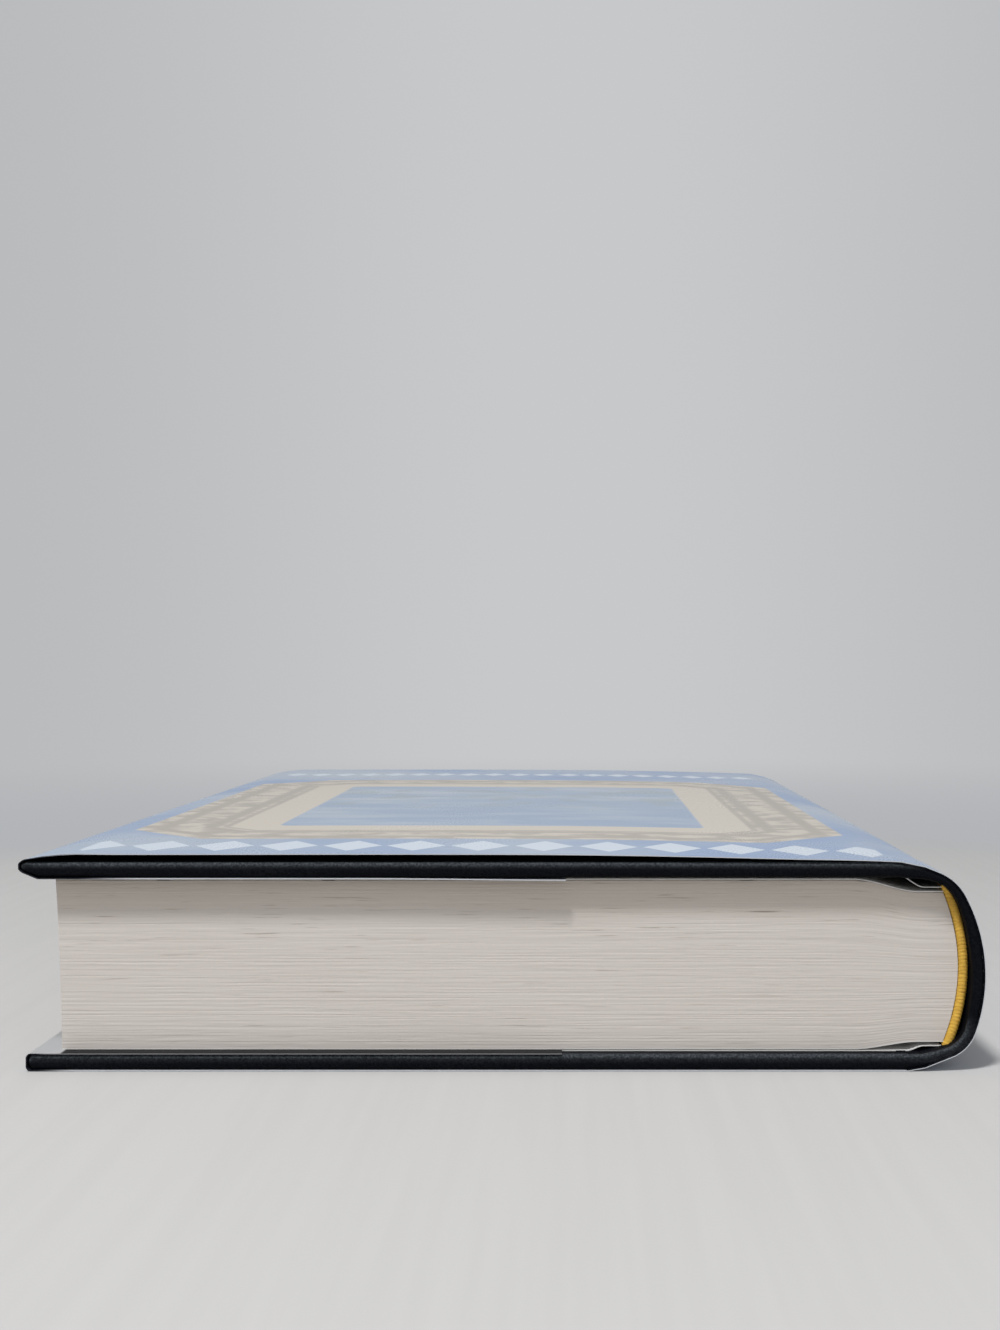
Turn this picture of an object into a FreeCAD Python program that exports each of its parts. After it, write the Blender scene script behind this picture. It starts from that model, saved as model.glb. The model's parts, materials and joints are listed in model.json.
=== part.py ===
"""A case-bound book with a paper jacket, lying on its back cover.

Millimetres, +Z up, spine towards +X, head of the book towards -Y. The origin is the middle
of the footprint, on the surface that the book lies on. Every section is drawn in the XZ
plane, as the head of the book shows it, and runs along Y.
"""
import FreeCAD, Part
import math
import os
import Sketcher
from FreeCAD import Vector

# The driving dimensions, in the order of the sheet
DIMENSIONS = {
    "case_height": 241.3,          # height of the boards and of the jacket
    "board_width": 151.0,
    "board_thickness": 2.1,
    "board_rounding": 0.35,        # softened edge of the grey board
    "cloth_thickness": 0.25,       # black covering paper
    "turn_in": 15.0,               # covering paper folded over the inside of a board
    "jacket_thickness": 0.15,
    "endpaper_thickness": 0.15,
    "square": 3.15,                # overhang of the boards past the leaves at head and tail
    "block_thickness": 29.3,
    "leaf_width": 153.9,           # fore-edge to shoulder along the top leaf
    "leaf_slant": 1.1,             # how much the bottom leaf stays behind the top one
    "fore_edge_hollow": 0.2,
    "spine_round": 2.6,
    "pinch_run": 9.4,              # stretch over which the leaves thin towards the joint
    "front_pinch": 2.15,           # thinning of the block under the front joint
    "back_pinch": 1.3,
    "pinch_flat": 5.2,             # level stretch from there to the shoulder
    "shoulder_reach": 3.7,         # hinge line to the shoulder of the leaves
    "joint_width": 3.9,            # front board to the hinge line
    "joint_lap": 12.0,             # pasted leaf kept level by the gauze beside the joint
    "cover_lead": 1.3,             # how far the front cover has slid past the back one
    "front_hinge_drop": 0.85,      # hinge line below the top of the front board
    "back_hinge_rise": 0.5,        # hinge line above the table
    "spine_bulge": 10.45,          # hinge line to the outermost point of the spine
    "spine_radius": 29.0,
    "spine_low_share": 0.46,       # height of the spine's outermost point, as a share
    "front_joint_slope": 21.5,     # degrees that the joint falls from the hinge line
    "front_shoulder_radius": 9.0,
    "back_joint_slope": 21.5,
    "back_shoulder_radius": 7.0,
    "jacket_bow": 1.5,             # jacket standing off the front board
    "bow_level_length": 70.0,      # level part of the bow, from the middle to the fore-edge
    "nose_radius": 1.4,            # fold of the jacket at the front cover's fore-edge
    "nose_drop": 0.85,             # its centre, below the covering paper
    "jacket_slack": 0.1,           # jacket fold clear of the board's edge
    "front_flap": 94.0,
    "back_flap": 92.0,
    "cover_gap": 0.3,              # air between the front flyleaf and the flap
    "inlay_thickness": 0.9,
    "inlay_short": 0.06,           # share of the spine's curve left bare at each end
    "mull_thickness": 0.25,
    "mull_short": 13.0,            # gauze stops this far from head and tail
    "lining_thickness": 0.3,
    "lining_short": 1.5,
    "band_bead": 1.7,              # headband bead, across
    "band_proud": 0.6,             # bead above the leaves
    "band_rounding": 0.5,
    "hinge_clearance": 0.15,       # each side of a hinge line
    "fold_radius": 0.45,           # endpaper fold at the shoulder
}


class Size:
    """A length with its number and the sheet expression that gives the same number."""

    def __init__(self, value, text):
        self.value = value
        self.text = text

    def __add__(self, other):
        return Size(self.value + number(other), f"({self.text} + {words(other)})")

    def __sub__(self, other):
        return Size(self.value - number(other), f"({self.text} - {words(other)})")

    def __mul__(self, other):
        return Size(self.value * number(other), f"({self.text} * {words(other)})")

    def __truediv__(self, other):
        return Size(self.value / number(other), f"({self.text} / {words(other)})")

    def __neg__(self):
        return Size(-self.value, f"(-{self.text})")


def number(length):
    """The number of a length or of a plain number."""
    return length.value if isinstance(length, Size) else float(length)


def words(length):
    """The same as a sheet expression."""
    return length.text if isinstance(length, Size) else str(length)


doc = FreeCAD.newDocument("Book")
sheet = doc.addObject("Spreadsheet::Sheet", "Sizes")
S = {}
for row, (alias, value) in enumerate(DIMENSIONS.items(), start=1):
    sheet.set(f"A{row}", alias)
    sheet.set(f"B{row}", str(value))
    sheet.setAlias(f"B{row}", alias)
doc.recompute()
for alias in DIMENSIONS:
    S[alias] = Size(float(sheet.get(alias)), f"Sizes.{alias}")

# Places across the book, worked out from the spine side
half_width = (S["spine_bulge"] + S["joint_width"] + S["board_width"] + S["cloth_thickness"] * 2
              + S["jacket_slack"] + S["jacket_thickness"]) / 2
hinge_x = half_width - S["spine_bulge"]
front_board_right = hinge_x - S["joint_width"] - S["cloth_thickness"]
front_board_left = front_board_right - S["board_width"]
back_board_right = front_board_right + S["cover_lead"]
back_board_left = back_board_right - S["board_width"]
shoulder_x = hinge_x + S["shoulder_reach"]
fore_edge_x = shoulder_x - S["leaf_width"]

# Levels up through the stack, from the table
back_cloth_z = S["jacket_thickness"]
back_board_z = back_cloth_z + S["cloth_thickness"]
back_turn_z = back_board_z + S["board_thickness"]
back_paste_z = back_turn_z + S["cloth_thickness"]
back_flap_z = back_paste_z + S["endpaper_thickness"]
back_fly_z = back_flap_z + S["jacket_thickness"]
block_z = back_fly_z + S["endpaper_thickness"]
block_top_z = block_z + S["block_thickness"]
front_flap_z = block_top_z + S["endpaper_thickness"] + S["cover_gap"]
front_paste_z = front_flap_z + S["jacket_thickness"]
front_turn_z = front_paste_z + S["endpaper_thickness"]
front_board_z = front_turn_z + S["cloth_thickness"]
front_cloth_z = front_board_z + S["board_thickness"]
front_skin_z = front_cloth_z + S["cloth_thickness"]
front_jacket_z = front_skin_z + S["jacket_thickness"]
front_hinge_z = front_jacket_z - S["front_hinge_drop"]
back_hinge_z = S["back_hinge_rise"]

half_case = S["case_height"] / 2
jacket_fold = (S["board_rounding"] + S["cloth_thickness"] + S["jacket_slack"]
               + S["jacket_thickness"])
half_leaf = half_case - S["square"]


def at(x, z):
    """A point of a section, from lengths or numbers."""
    return Vector(number(x), 0, number(z))


def segment(start, end):
    """A straight edge between two points."""
    return Part.LineSegment(start, end).toShape()


def arc(start, middle, end):
    """A round edge through three points."""
    return Part.Arc(start, middle, end).toShape()


def quarter(centre, radius, start, end):
    """A quarter turn round a centre, between two directions in degrees."""
    places = []
    for turn in (start, (start + end) / 2, end):
        way = math.radians(turn)
        places.append(centre + Vector(math.cos(way), 0, math.sin(way)) * radius)
    return arc(*places)


def arc_between(start, end, centre, radius):
    """The short arc between two points of a circle."""
    return arc(start, centre + ((start + end) / 2 - centre).normalize() * radius, end)


def path(*points):
    """Straight edges from point to point."""
    return [segment(a, b) for a, b in zip(points, points[1:])]


def plate(name, left, right, half, bottom, top, rounding=None, square_right=False):
    """A flat plate as a body: a sketched rectangle, padded upwards, its edges rounded."""
    body = doc.addObject("PartDesign::Body", name)
    plane = [f for f in body.Origin.OriginFeatures if f.Role == "XY_Plane"][0]
    sketch = body.newObject("Sketcher::SketchObject", f"{name}_outline")
    sketch.AttachmentSupport = [(plane, "")]
    sketch.MapMode = "FlatFace"
    corners = [(left, -half), (right, -half), (right, half), (left, half)]
    places = [Vector(x.value, y.value, 0) for x, y in corners]
    for side in range(4):
        sketch.addGeometry(Part.LineSegment(places[side], places[(side + 1) % 4]), False)
    for side in range(4):
        sketch.addConstraint(Sketcher.Constraint("Coincident", side, 2, (side + 1) % 4, 1))
    fix_points(sketch, [(side, 1, x, y) for side, (x, y) in enumerate(corners)])
    pad = body.newObject("PartDesign::Pad", f"{name}_pad")
    pad.Profile = sketch
    pad.setExpression("Length", (top - bottom).text)
    body.setExpression("Placement.Base.z", bottom.text)
    doc.recompute()
    if rounding is not None:
        edges = []
        for index, edge in enumerate(pad.Shape.Edges, start=1):
            on_right = edge.BoundBox.XMin > right.value - 0.01
            if not (square_right and on_right):
                edges.append(f"Edge{index}")
        fillet = body.newObject("PartDesign::Fillet", f"{name}_rounding")
        fillet.Base = (pad, edges)
        fillet.setExpression("Radius", rounding.text)
        doc.recompute()
    return body


def fix_points(sketch, points):
    """Ties points of a sketch to the sheet: each is (geometry, end, across, up)."""
    for geometry, end, across, up in points:
        for kind, length in (("DistanceX", across), ("DistanceY", up)):
            rule = Sketcher.Constraint(kind, -1, 1, geometry, end, length.value)
            index = sketch.addConstraint(rule)
            sketch.setExpression(f"Constraints[{index}]", length.text)


def boolean(kind, name, first, *others):
    """Part::Cut or Part::MultiFuse of document objects."""
    result = doc.addObject(kind, name)
    if kind == "Part::Cut":
        result.Base = first
        result.Tool = others[0]
    else:
        result.Shapes = [first, *others]
    doc.recompute()
    return result


def left_sign(line):
    """The sign that an offset to the left of a line takes, as the line runs in the section."""
    trial = line.makeOffset2D(LEFT_TRIAL, 0, False, True, False)
    first = line.OrderedEdges[0]
    begin, end = first.FirstParameter, first.LastParameter
    if line.OrderedVertexes[0].Point.distanceToPoint(first.valueAt(begin)) > LEFT_TRIAL:
        begin, end = end, begin
    middle = first.valueAt((begin + end) / 2)
    way = (first.valueAt(begin + (end - begin) * PAST_MIDDLE) - middle).normalize()
    left = Part.Vertex(middle + Vector(-way.z, 0, way.x) * LEFT_TRIAL)
    return 1 if left.distToShape(trial)[0] < LEFT_TRIAL / 2 else -1


def layer(edges, outer, inner, low, high):
    """A sheet that follows a line of the section, between two depths and two places in Y.

    A depth is measured to the left of the line as it runs, and to the right if negative.
    """
    line = Part.Wire(edges)
    sign = left_sign(line)
    sides = [line.makeOffset2D(depth * sign, 0, False, True, False) if depth else line
             for depth in (outer, inner)]
    first, second = [(side.OrderedVertexes[0].Point, side.OrderedVertexes[-1].Point)
                     for side in sides]
    if first[0].distanceToPoint(second[0]) > first[0].distanceToPoint(second[1]):
        second = (second[1], second[0])
    round_about = sides[0].Edges + sides[1].Edges
    round_about += [segment(a, b) for a, b in zip(first, second)]
    face = Part.Face(Part.Wire(Part.sortEdges(round_about)[0]))
    face.translate(Vector(0, low, 0))
    return face.extrude(Vector(0, high - low, 0))


def feature(name, shape):
    """A document object for a sheet that follows a free curve."""
    made = doc.addObject("Part::Feature", name)
    made.Shape = shape
    return made


ACROSS = Vector(1, 0, 0)
UP = Vector(0, 0, 1)
LEFT_TRIAL = 0.02                  # trial offset that tells left from right
PAST_MIDDLE = 0.51                 # share of an edge just past its middle
CUT_PAST = 1                       # how far a cutting plate runs past what it cuts
STEP = 0.3                         # level end of a joint's strip, where it meets its cover
LINING_TRIM = 0.02                 # share of the leaves' back left bare at each shoulder
BAND_TRIM = 0.05
HEAD = -half_case.value
TAIL = half_case.value
LEAF_HEAD = -half_leaf.value
LEAF_TAIL = half_leaf.value
CLEAR = S["hinge_clearance"].value
CLOTH = S["cloth_thickness"].value
JACKET = S["jacket_thickness"].value
ENDPAPER = S["endpaper_thickness"].value

pinch_end_x = shoulder_x - S["pinch_flat"]
pinch_start_x = pinch_end_x - S["pinch_run"]
BLOCK_CORNERS = (
    (fore_edge_x, block_top_z),
    (pinch_start_x, block_top_z),
    (pinch_end_x, block_top_z - S["front_pinch"]),
    (shoulder_x, block_top_z - S["front_pinch"]),
    (shoulder_x, block_z + S["back_pinch"]),
    (pinch_end_x, block_z + S["back_pinch"]),
    (pinch_start_x, block_z),
    (fore_edge_x + S["leaf_slant"], block_z),
)
front_fold_z = BLOCK_CORNERS[3][1] + S["fold_radius"] * 2
back_fold_z = BLOCK_CORNERS[4][1] - S["fold_radius"] * 2

# The line of the spine, on the outside of the jacket from one hinge line to the other
front_hinge = at(hinge_x, front_hinge_z)
back_hinge = at(hinge_x, back_hinge_z)
spine_radius = S["spine_radius"].value
spine_centre = at(half_width - S["spine_radius"],
                  back_hinge_z + (front_hinge_z - back_hinge_z) * S["spine_low_share"])


def on_arc(curve, share):
    """The point at a share of an arc's length."""
    return curve.value(curve.FirstParameter + share * (curve.LastParameter - curve.FirstParameter))


def start_clear(hinge, towards):
    """The end of a sheet at a hinge line, a clearance away from it."""
    return hinge + (towards - hinge).normalize() * CLEAR


def shoulder(hinge, slope, side, radius):
    """A straight joint and the round shoulder that carries it over into the spine.

    side is 1 at the front and -1 at the back. Returns the hinge end, the end of the
    straight, the middle of the round and the point where the round meets the spine.
    """
    turn = math.radians(slope)
    way = Vector(math.cos(turn), 0, -side * math.sin(turn))
    inwards = Vector(-math.sin(turn), 0, -side * math.cos(turn))
    base = hinge + inwards * radius
    apart = base - spine_centre
    half = apart.dot(way)
    reach = math.sqrt(half ** 2 - apart.dot(apart) + (spine_radius - radius) ** 2) - half
    centre = base + way * reach
    straight_end = centre - inwards * radius
    meeting = spine_centre + (centre - spine_centre).normalize() * spine_radius
    middle = centre + ((straight_end + meeting) / 2 - centre).normalize() * radius
    return hinge + way * CLEAR, straight_end, middle, meeting


front_side = shoulder(front_hinge, S["front_joint_slope"].value, 1,
                      S["front_shoulder_radius"].value)
back_side = shoulder(back_hinge, S["back_joint_slope"].value, -1,
                     S["back_shoulder_radius"].value)
spine_outermost = spine_centre + ACROSS * spine_radius
spine_line = path(*front_side[:2])
spine_line.append(arc(*front_side[1:]))
spine_line.append(arc(front_side[3], spine_outermost, back_side[3]))
spine_line.append(arc(back_side[3], back_side[2], back_side[1]))
spine_line += path(back_side[1], back_side[0])

# The stiffened part of the same line
spine_arc = Part.Arc(front_side[3], spine_outermost, back_side[3])
short = S["inlay_short"].value
inlay_line = [arc(on_arc(spine_arc, short), on_arc(spine_arc, 0.5), on_arc(spine_arc, 1 - short))]


# Boards and what is glued to them

def window(name, left, right, bottom, top):
    """The field inside the three turn-ins of a board, as far as the lap beside the joint."""
    inset = S["turn_in"]
    return plate(name, left + inset, right - S["joint_lap"], half_case - inset, bottom, top)


def covered_board(side, left, right, bottom, field_bottom):
    """The grey board and the covering paper round it, open where the board is bare."""
    wall = S["cloth_thickness"]
    top = bottom + S["board_thickness"]
    board = plate(f"{side}_board", left, right, half_case - wall, bottom, top,
                  S["board_rounding"], square_right=True)
    outside = plate(f"{side}_cloth_outside", left - wall, right, half_case, bottom - wall,
                    top + wall, S["board_rounding"] + wall, square_right=True)
    hollow = boolean("Part::Cut", f"{side}_cloth_hollow", outside, board)
    bare = plate(f"{side}_bare_field", left - wall + S["turn_in"], right + CUT_PAST,
                 half_case - S["turn_in"], field_bottom, field_bottom + wall)
    return boolean("Part::Cut", f"{side}_cloth_wrap", hollow, bare)


def pasted_leaf(side, left, right, levels):
    """The pasted endpaper: it lies on the turn-ins and sinks on to the bare board.

    levels holds the underside and top of the rim, of the sunk field and of the room in it.
    """
    rim_levels, field_levels, room_levels = levels
    outer = left - S["cloth_thickness"]
    rim = plate(f"{side}_leaf_rim", outer + S["square"], right, half_leaf, *rim_levels)
    field = window(f"{side}_leaf_field", outer, right, *field_levels)
    whole = boolean("Part::MultiFuse", f"{side}_leaf_whole", rim, field)
    inset = S["turn_in"] + S["endpaper_thickness"]
    room = plate(f"{side}_leaf_room", outer + inset,
                 right - S["joint_lap"] - S["endpaper_thickness"], half_case - inset, *room_levels)
    return boolean("Part::Cut", f"{side}_leaf_sheet", whole, room)


def back_cover():
    """Nodes of the cover that the book lies on."""
    edge = back_board_right.value
    wrap = covered_board("back", back_board_left, back_board_right, back_board_z, back_turn_z)
    end = start_clear(back_hinge, at(edge, 0))
    strip = feature("back_cloth_strip", layer(
        path(end, at(edge, 0), at(edge - STEP, 0)), -JACKET, -JACKET - CLOTH, HEAD, TAIL))
    boolean("Part::MultiFuse", "back_cover_cloth", wrap, strip)

    rim_top = back_paste_z + S["endpaper_thickness"]
    sheet_levels = ((back_paste_z, rim_top), (back_turn_z, rim_top),
                    (back_turn_z + S["endpaper_thickness"], rim_top + CUT_PAST))
    leaf = pasted_leaf("back", back_board_left, back_board_right, sheet_levels)
    joint = feature("back_leaf_joint", layer(
        path(at(edge, back_paste_z), at(edge + STEP, back_paste_z),
             at(hinge_x.value - CLEAR, back_fold_z)), 0, ENDPAPER, LEAF_HEAD, LEAF_TAIL))
    boolean("Part::MultiFuse", "back_pastedown", leaf, joint)

    outer = back_board_left - S["cloth_thickness"] - S["jacket_slack"] - S["jacket_thickness"]
    fold = jacket_fold.value
    flap_end = at(outer + S["back_flap"], back_fly_z)
    line = path(end, at(edge, 0), at(outer.value + fold, 0))
    line.append(quarter(at(outer.value + fold, fold), fold, -90, -180))
    line += path(at(outer, fold), at(outer, back_fly_z.value - fold))
    line.append(quarter(at(outer.value + fold, back_fly_z.value - fold), fold, 180, 90))
    line += path(at(outer.value + fold, back_fly_z), flap_end)
    feature("jacket_back", layer(line, 0, -JACKET, HEAD, TAIL))


def front_cover():
    """Nodes of the upper cover, with the jacket standing off it in a low bow."""
    edge = front_board_right.value
    wrap = covered_board("front", front_board_left, front_board_right, front_board_z, front_turn_z)
    end = start_clear(front_hinge, at(edge, front_jacket_z))
    strip = feature("front_cloth_strip", layer(
        path(end, at(edge, front_jacket_z), at(edge - STEP, front_jacket_z)),
        JACKET, JACKET + CLOTH, HEAD, TAIL))
    boolean("Part::MultiFuse", "front_cover_cloth", wrap, strip)

    sheet_levels = ((front_paste_z, front_turn_z), (front_paste_z, front_board_z),
                    (front_paste_z - CUT_PAST, front_board_z - S["endpaper_thickness"]))
    leaf = pasted_leaf("front", front_board_left, front_board_right, sheet_levels)
    joint = feature("front_leaf_joint", layer(
        path(at(edge, front_turn_z), at(edge + STEP, front_turn_z),
             at(hinge_x.value - CLEAR, front_fold_z)), 0, -ENDPAPER, LEAF_HEAD, LEAF_TAIL))
    boolean("Part::MultiFuse", "front_pastedown", leaf, joint)

    rise = S["jacket_bow"].value
    top = front_jacket_z.value + rise
    radius = (edge ** 2 + rise ** 2) / (2 * rise)
    half_drop = radius - math.sqrt(radius ** 2 - (edge / 2) ** 2)
    bow = arc(at(edge, front_jacket_z), at(edge / 2, top - half_drop), at(0, top))
    level_end = at(-S["bow_level_length"], top)
    outer = -half_width.value
    small = S["nose_radius"].value
    small_centre = at(outer + small, front_skin_z - S["nose_drop"])
    gap = level_end - small_centre
    large = (gap.dot(gap) - small ** 2) / (2 * (gap.z - small))
    large_centre = level_end - UP * large
    meeting = large_centre + (small_centre - large_centre).normalize() * large
    nose_end = small_centre - ACROSS * small
    nose = [arc_between(level_end, meeting, large_centre, large),
            arc_between(meeting, nose_end, small_centre, small)]
    fold = jacket_fold.value
    line = path(end, at(edge, front_jacket_z)) + [bow] + path(at(0, top), level_end)
    line += nose
    line += path(nose_end, at(outer, front_flap_z.value + fold))
    line.append(quarter(at(outer + fold, front_flap_z.value + fold), fold, 180, 270))
    line += path(at(outer + fold, front_flap_z), at(outer + S["front_flap"].value, front_flap_z))
    feature("jacket_front", layer(line, 0, JACKET, HEAD, TAIL))


# The leaves and the spine

def text_block():
    """All leaves as one solid, thinner under the joints, round at the spine."""
    body = doc.addObject("PartDesign::Body", "text_block")
    plane = [f for f in body.Origin.OriginFeatures if f.Role == "XZ_Plane"][0]
    sketch = body.newObject("Sketcher::SketchObject", "leaf_section")
    sketch.AttachmentSupport = [(plane, "")]
    sketch.MapMode = "FlatFace"
    flat = [Vector(x.value, z.value, 0) for x, z in BLOCK_CORNERS]
    straight = (0, 1, 2, 4, 5, 6)
    for index in straight:
        sketch.addGeometry(Part.LineSegment(flat[index], flat[index + 1]), False)
    bulge = Vector(S["spine_round"].value, 0, 0)
    hollow = Vector(S["fore_edge_hollow"].value, 0, 0)
    sketch.addGeometry(Part.Arc(flat[4], (flat[3] + flat[4]) / 2 + bulge, flat[3]), False)
    sketch.addGeometry(Part.Arc(flat[7], (flat[7] + flat[0]) / 2 + hollow, flat[0]), False)
    fix_points(sketch, [(place, 1, *BLOCK_CORNERS[index]) for place, index in enumerate(straight)])
    joins = ((0, 2, 1, 1), (1, 2, 2, 1), (2, 2, 6, 2), (6, 1, 3, 1), (3, 2, 4, 1), (4, 2, 5, 1),
             (5, 2, 7, 1), (7, 2, 0, 1))
    for join in joins:
        sketch.addConstraint(Sketcher.Constraint("Coincident", *join))
    fix_points(sketch, [(2, 2, *BLOCK_CORNERS[3]), (5, 2, *BLOCK_CORNERS[7])])
    chord = S["block_thickness"] - S["front_pinch"] - S["back_pinch"]
    edge = S["block_thickness"] * S["block_thickness"] + S["leaf_slant"] * S["leaf_slant"]
    sagittas = ((6, chord * chord, S["spine_round"]), (7, edge, S["fore_edge_hollow"]))
    for geometry, chord_squared, sagitta in sagittas:
        radius = chord_squared / (sagitta * 8) + sagitta / 2
        index = sketch.addConstraint(Sketcher.Constraint("Radius", geometry, radius.value))
        sketch.setExpression(f"Constraints[{index}]", radius.text)
    pad = body.newObject("PartDesign::Pad", "leaf_pad")
    pad.Profile = sketch
    pad.SideType = "Symmetric"
    pad.setExpression("Length", (half_leaf * 2).text)
    doc.recompute()


def flyleaves():
    """The free endpapers, each folded back on itself at the shoulder."""
    radius = S["fold_radius"].value
    top_left, top_run, top_end, top_shoulder = [at(x, z) for x, z in BLOCK_CORNERS[:4]]
    fold_top = top_shoulder + UP * 2 * radius
    line = path(top_left, top_run, top_end, top_shoulder)
    line.append(arc(top_shoulder, top_shoulder + UP * radius + ACROSS * radius, fold_top))
    line += path(fold_top, at(hinge_x.value + CLEAR, fold_top.z))
    feature("front_flyleaf", layer(line, 0, ENDPAPER, LEAF_HEAD, LEAF_TAIL))

    low_shoulder, low_end, low_run, low_left = [at(x, z) for x, z in BLOCK_CORNERS[4:]]
    fold_low = low_shoulder - UP * 2 * radius
    line = path(low_left, low_run, low_end, low_shoulder)
    line.append(arc(low_shoulder, low_shoulder - UP * radius + ACROSS * radius, fold_low))
    line += path(fold_low, at(hinge_x.value + CLEAR, fold_low.z))
    feature("back_flyleaf", layer(line, 0, -ENDPAPER, LEAF_HEAD, LEAF_TAIL))


def leaf_spine(trim):
    """The round back of the leaves from front to back, shortened by a share at each end."""
    top = at(*BLOCK_CORNERS[3])
    bottom = at(*BLOCK_CORNERS[4])
    middle = (top + bottom) / 2 + ACROSS * S["spine_round"].value
    whole = Part.Arc(top, middle, bottom)
    return [arc(on_arc(whole, trim), on_arc(whole, 0.5), on_arc(whole, 1 - trim))]


def spine_linings():
    """Gauze, headbands and kraft paper on the back of the leaves."""
    gauze = S["mull_thickness"].value
    short = S["mull_short"].value
    feature("spine_mull", layer(leaf_spine(LINING_TRIM), 0, gauze, LEAF_HEAD + short,
                                LEAF_TAIL - short))
    proud = S["band_proud"].value
    bead = S["band_bead"].value
    for name, end, side in (("head_band", LEAF_HEAD, 1), ("tail_band", LEAF_TAIL, -1)):
        tape_low, tape_high = sorted((end, end + side * short))
        tape = layer(leaf_spine(LINING_TRIM), 0, gauze, tape_low, tape_high)
        low, high = sorted((end - side * proud, end - side * proud + side * bead))
        roll = layer(leaf_spine(BAND_TRIM), 0, bead, low, high)
        long_edges = [e for e in roll.Edges if e.Length > bead * 2]
        roll = roll.makeFillet(S["band_rounding"].value, long_edges)
        feature(name, roll.fuse(tape).removeSplitter())
    ends = S["lining_short"].value
    thick = S["lining_thickness"].value
    feature("spine_lining", layer(leaf_spine(LINING_TRIM), gauze, gauze + thick,
                                  LEAF_HEAD + ends, LEAF_TAIL - ends))


def spine_case():
    """The spine of the case, turned in at head and tail round its card, and its jacket."""
    feature("jacket_spine", layer(spine_line, 0, -JACKET, HEAD, TAIL))
    card = S["inlay_thickness"].value
    skin = layer(spine_line, -JACKET, -JACKET - CLOTH, HEAD, TAIL)
    card_top = -JACKET - CLOTH
    inner = card_top - card - CLOTH
    for end, side in ((HEAD, 1), (TAIL, -1)):
        low, high = sorted((end, end + side * CLOTH))
        skin = skin.fuse(layer(inlay_line, -JACKET - CLOTH / 2, inner, low, high))
        low, high = sorted((end, end + side * S["turn_in"].value))
        skin = skin.fuse(layer(inlay_line, inner + CLOTH, inner, low, high))
    feature("spine_cloth", skin.removeSplitter())
    feature("spine_inlay", layer(inlay_line, card_top, card_top - card, HEAD + CLOTH,
                                 TAIL - CLOTH))


NODES = ("back_board", "back_cover_cloth", "back_pastedown", "jacket_back", "text_block",
         "front_flyleaf", "back_flyleaf", "head_band", "tail_band", "spine_mull", "spine_lining",
         "spine_inlay", "spine_cloth", "jacket_spine", "front_board", "front_cover_cloth",
         "front_pastedown", "jacket_front")

back_cover()
text_block()
flyleaves()
spine_linings()
spine_case()
front_cover()
doc.recompute()

for made in doc.Objects:
    if "Invalid" in made.State or "Error" in made.State:
        raise RuntimeError(f"{made.Name} failed: {made.State}")
os.makedirs("parts", exist_ok=True)
for name in NODES:
    shape = doc.getObject(name).Shape
    if shape.isNull() or not shape.isValid() or len(shape.Solids) != 1:
        raise RuntimeError(f"{name} isn't one sound solid: {len(shape.Solids)}")
for name in NODES:
    shape = doc.getObject(name).Shape
    shape.exportStep(f"parts/{name}.step")
    box = shape.BoundBox
    print(f"{name}: {shape.Volume:.0f} mm3, x {box.XMin:.2f} {box.XMax:.2f}, "
          f"y {box.YMin:.2f} {box.YMax:.2f}, z {box.ZMin:.2f} {box.ZMax:.2f}")
print(f"front hinge {front_hinge.x:.3f} {front_hinge.z:.3f}, "
      f"back hinge {back_hinge.x:.3f} {back_hinge.z:.3f}")
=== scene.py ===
"""Looks of a case-bound book in a paper jacket, lying on its back cover.

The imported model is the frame. Sections are given in millimetres in the XZ plane, as the head
of the book shows them, and run along Y. Meshes are made in metres at the row frame's origin.
"""

import json
import logging
import math
import random
from dataclasses import dataclass, field
from enum import Enum
from typing import Callable, Iterable, Optional, Sequence

import bmesh
import bpy
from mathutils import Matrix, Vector, noise

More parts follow.
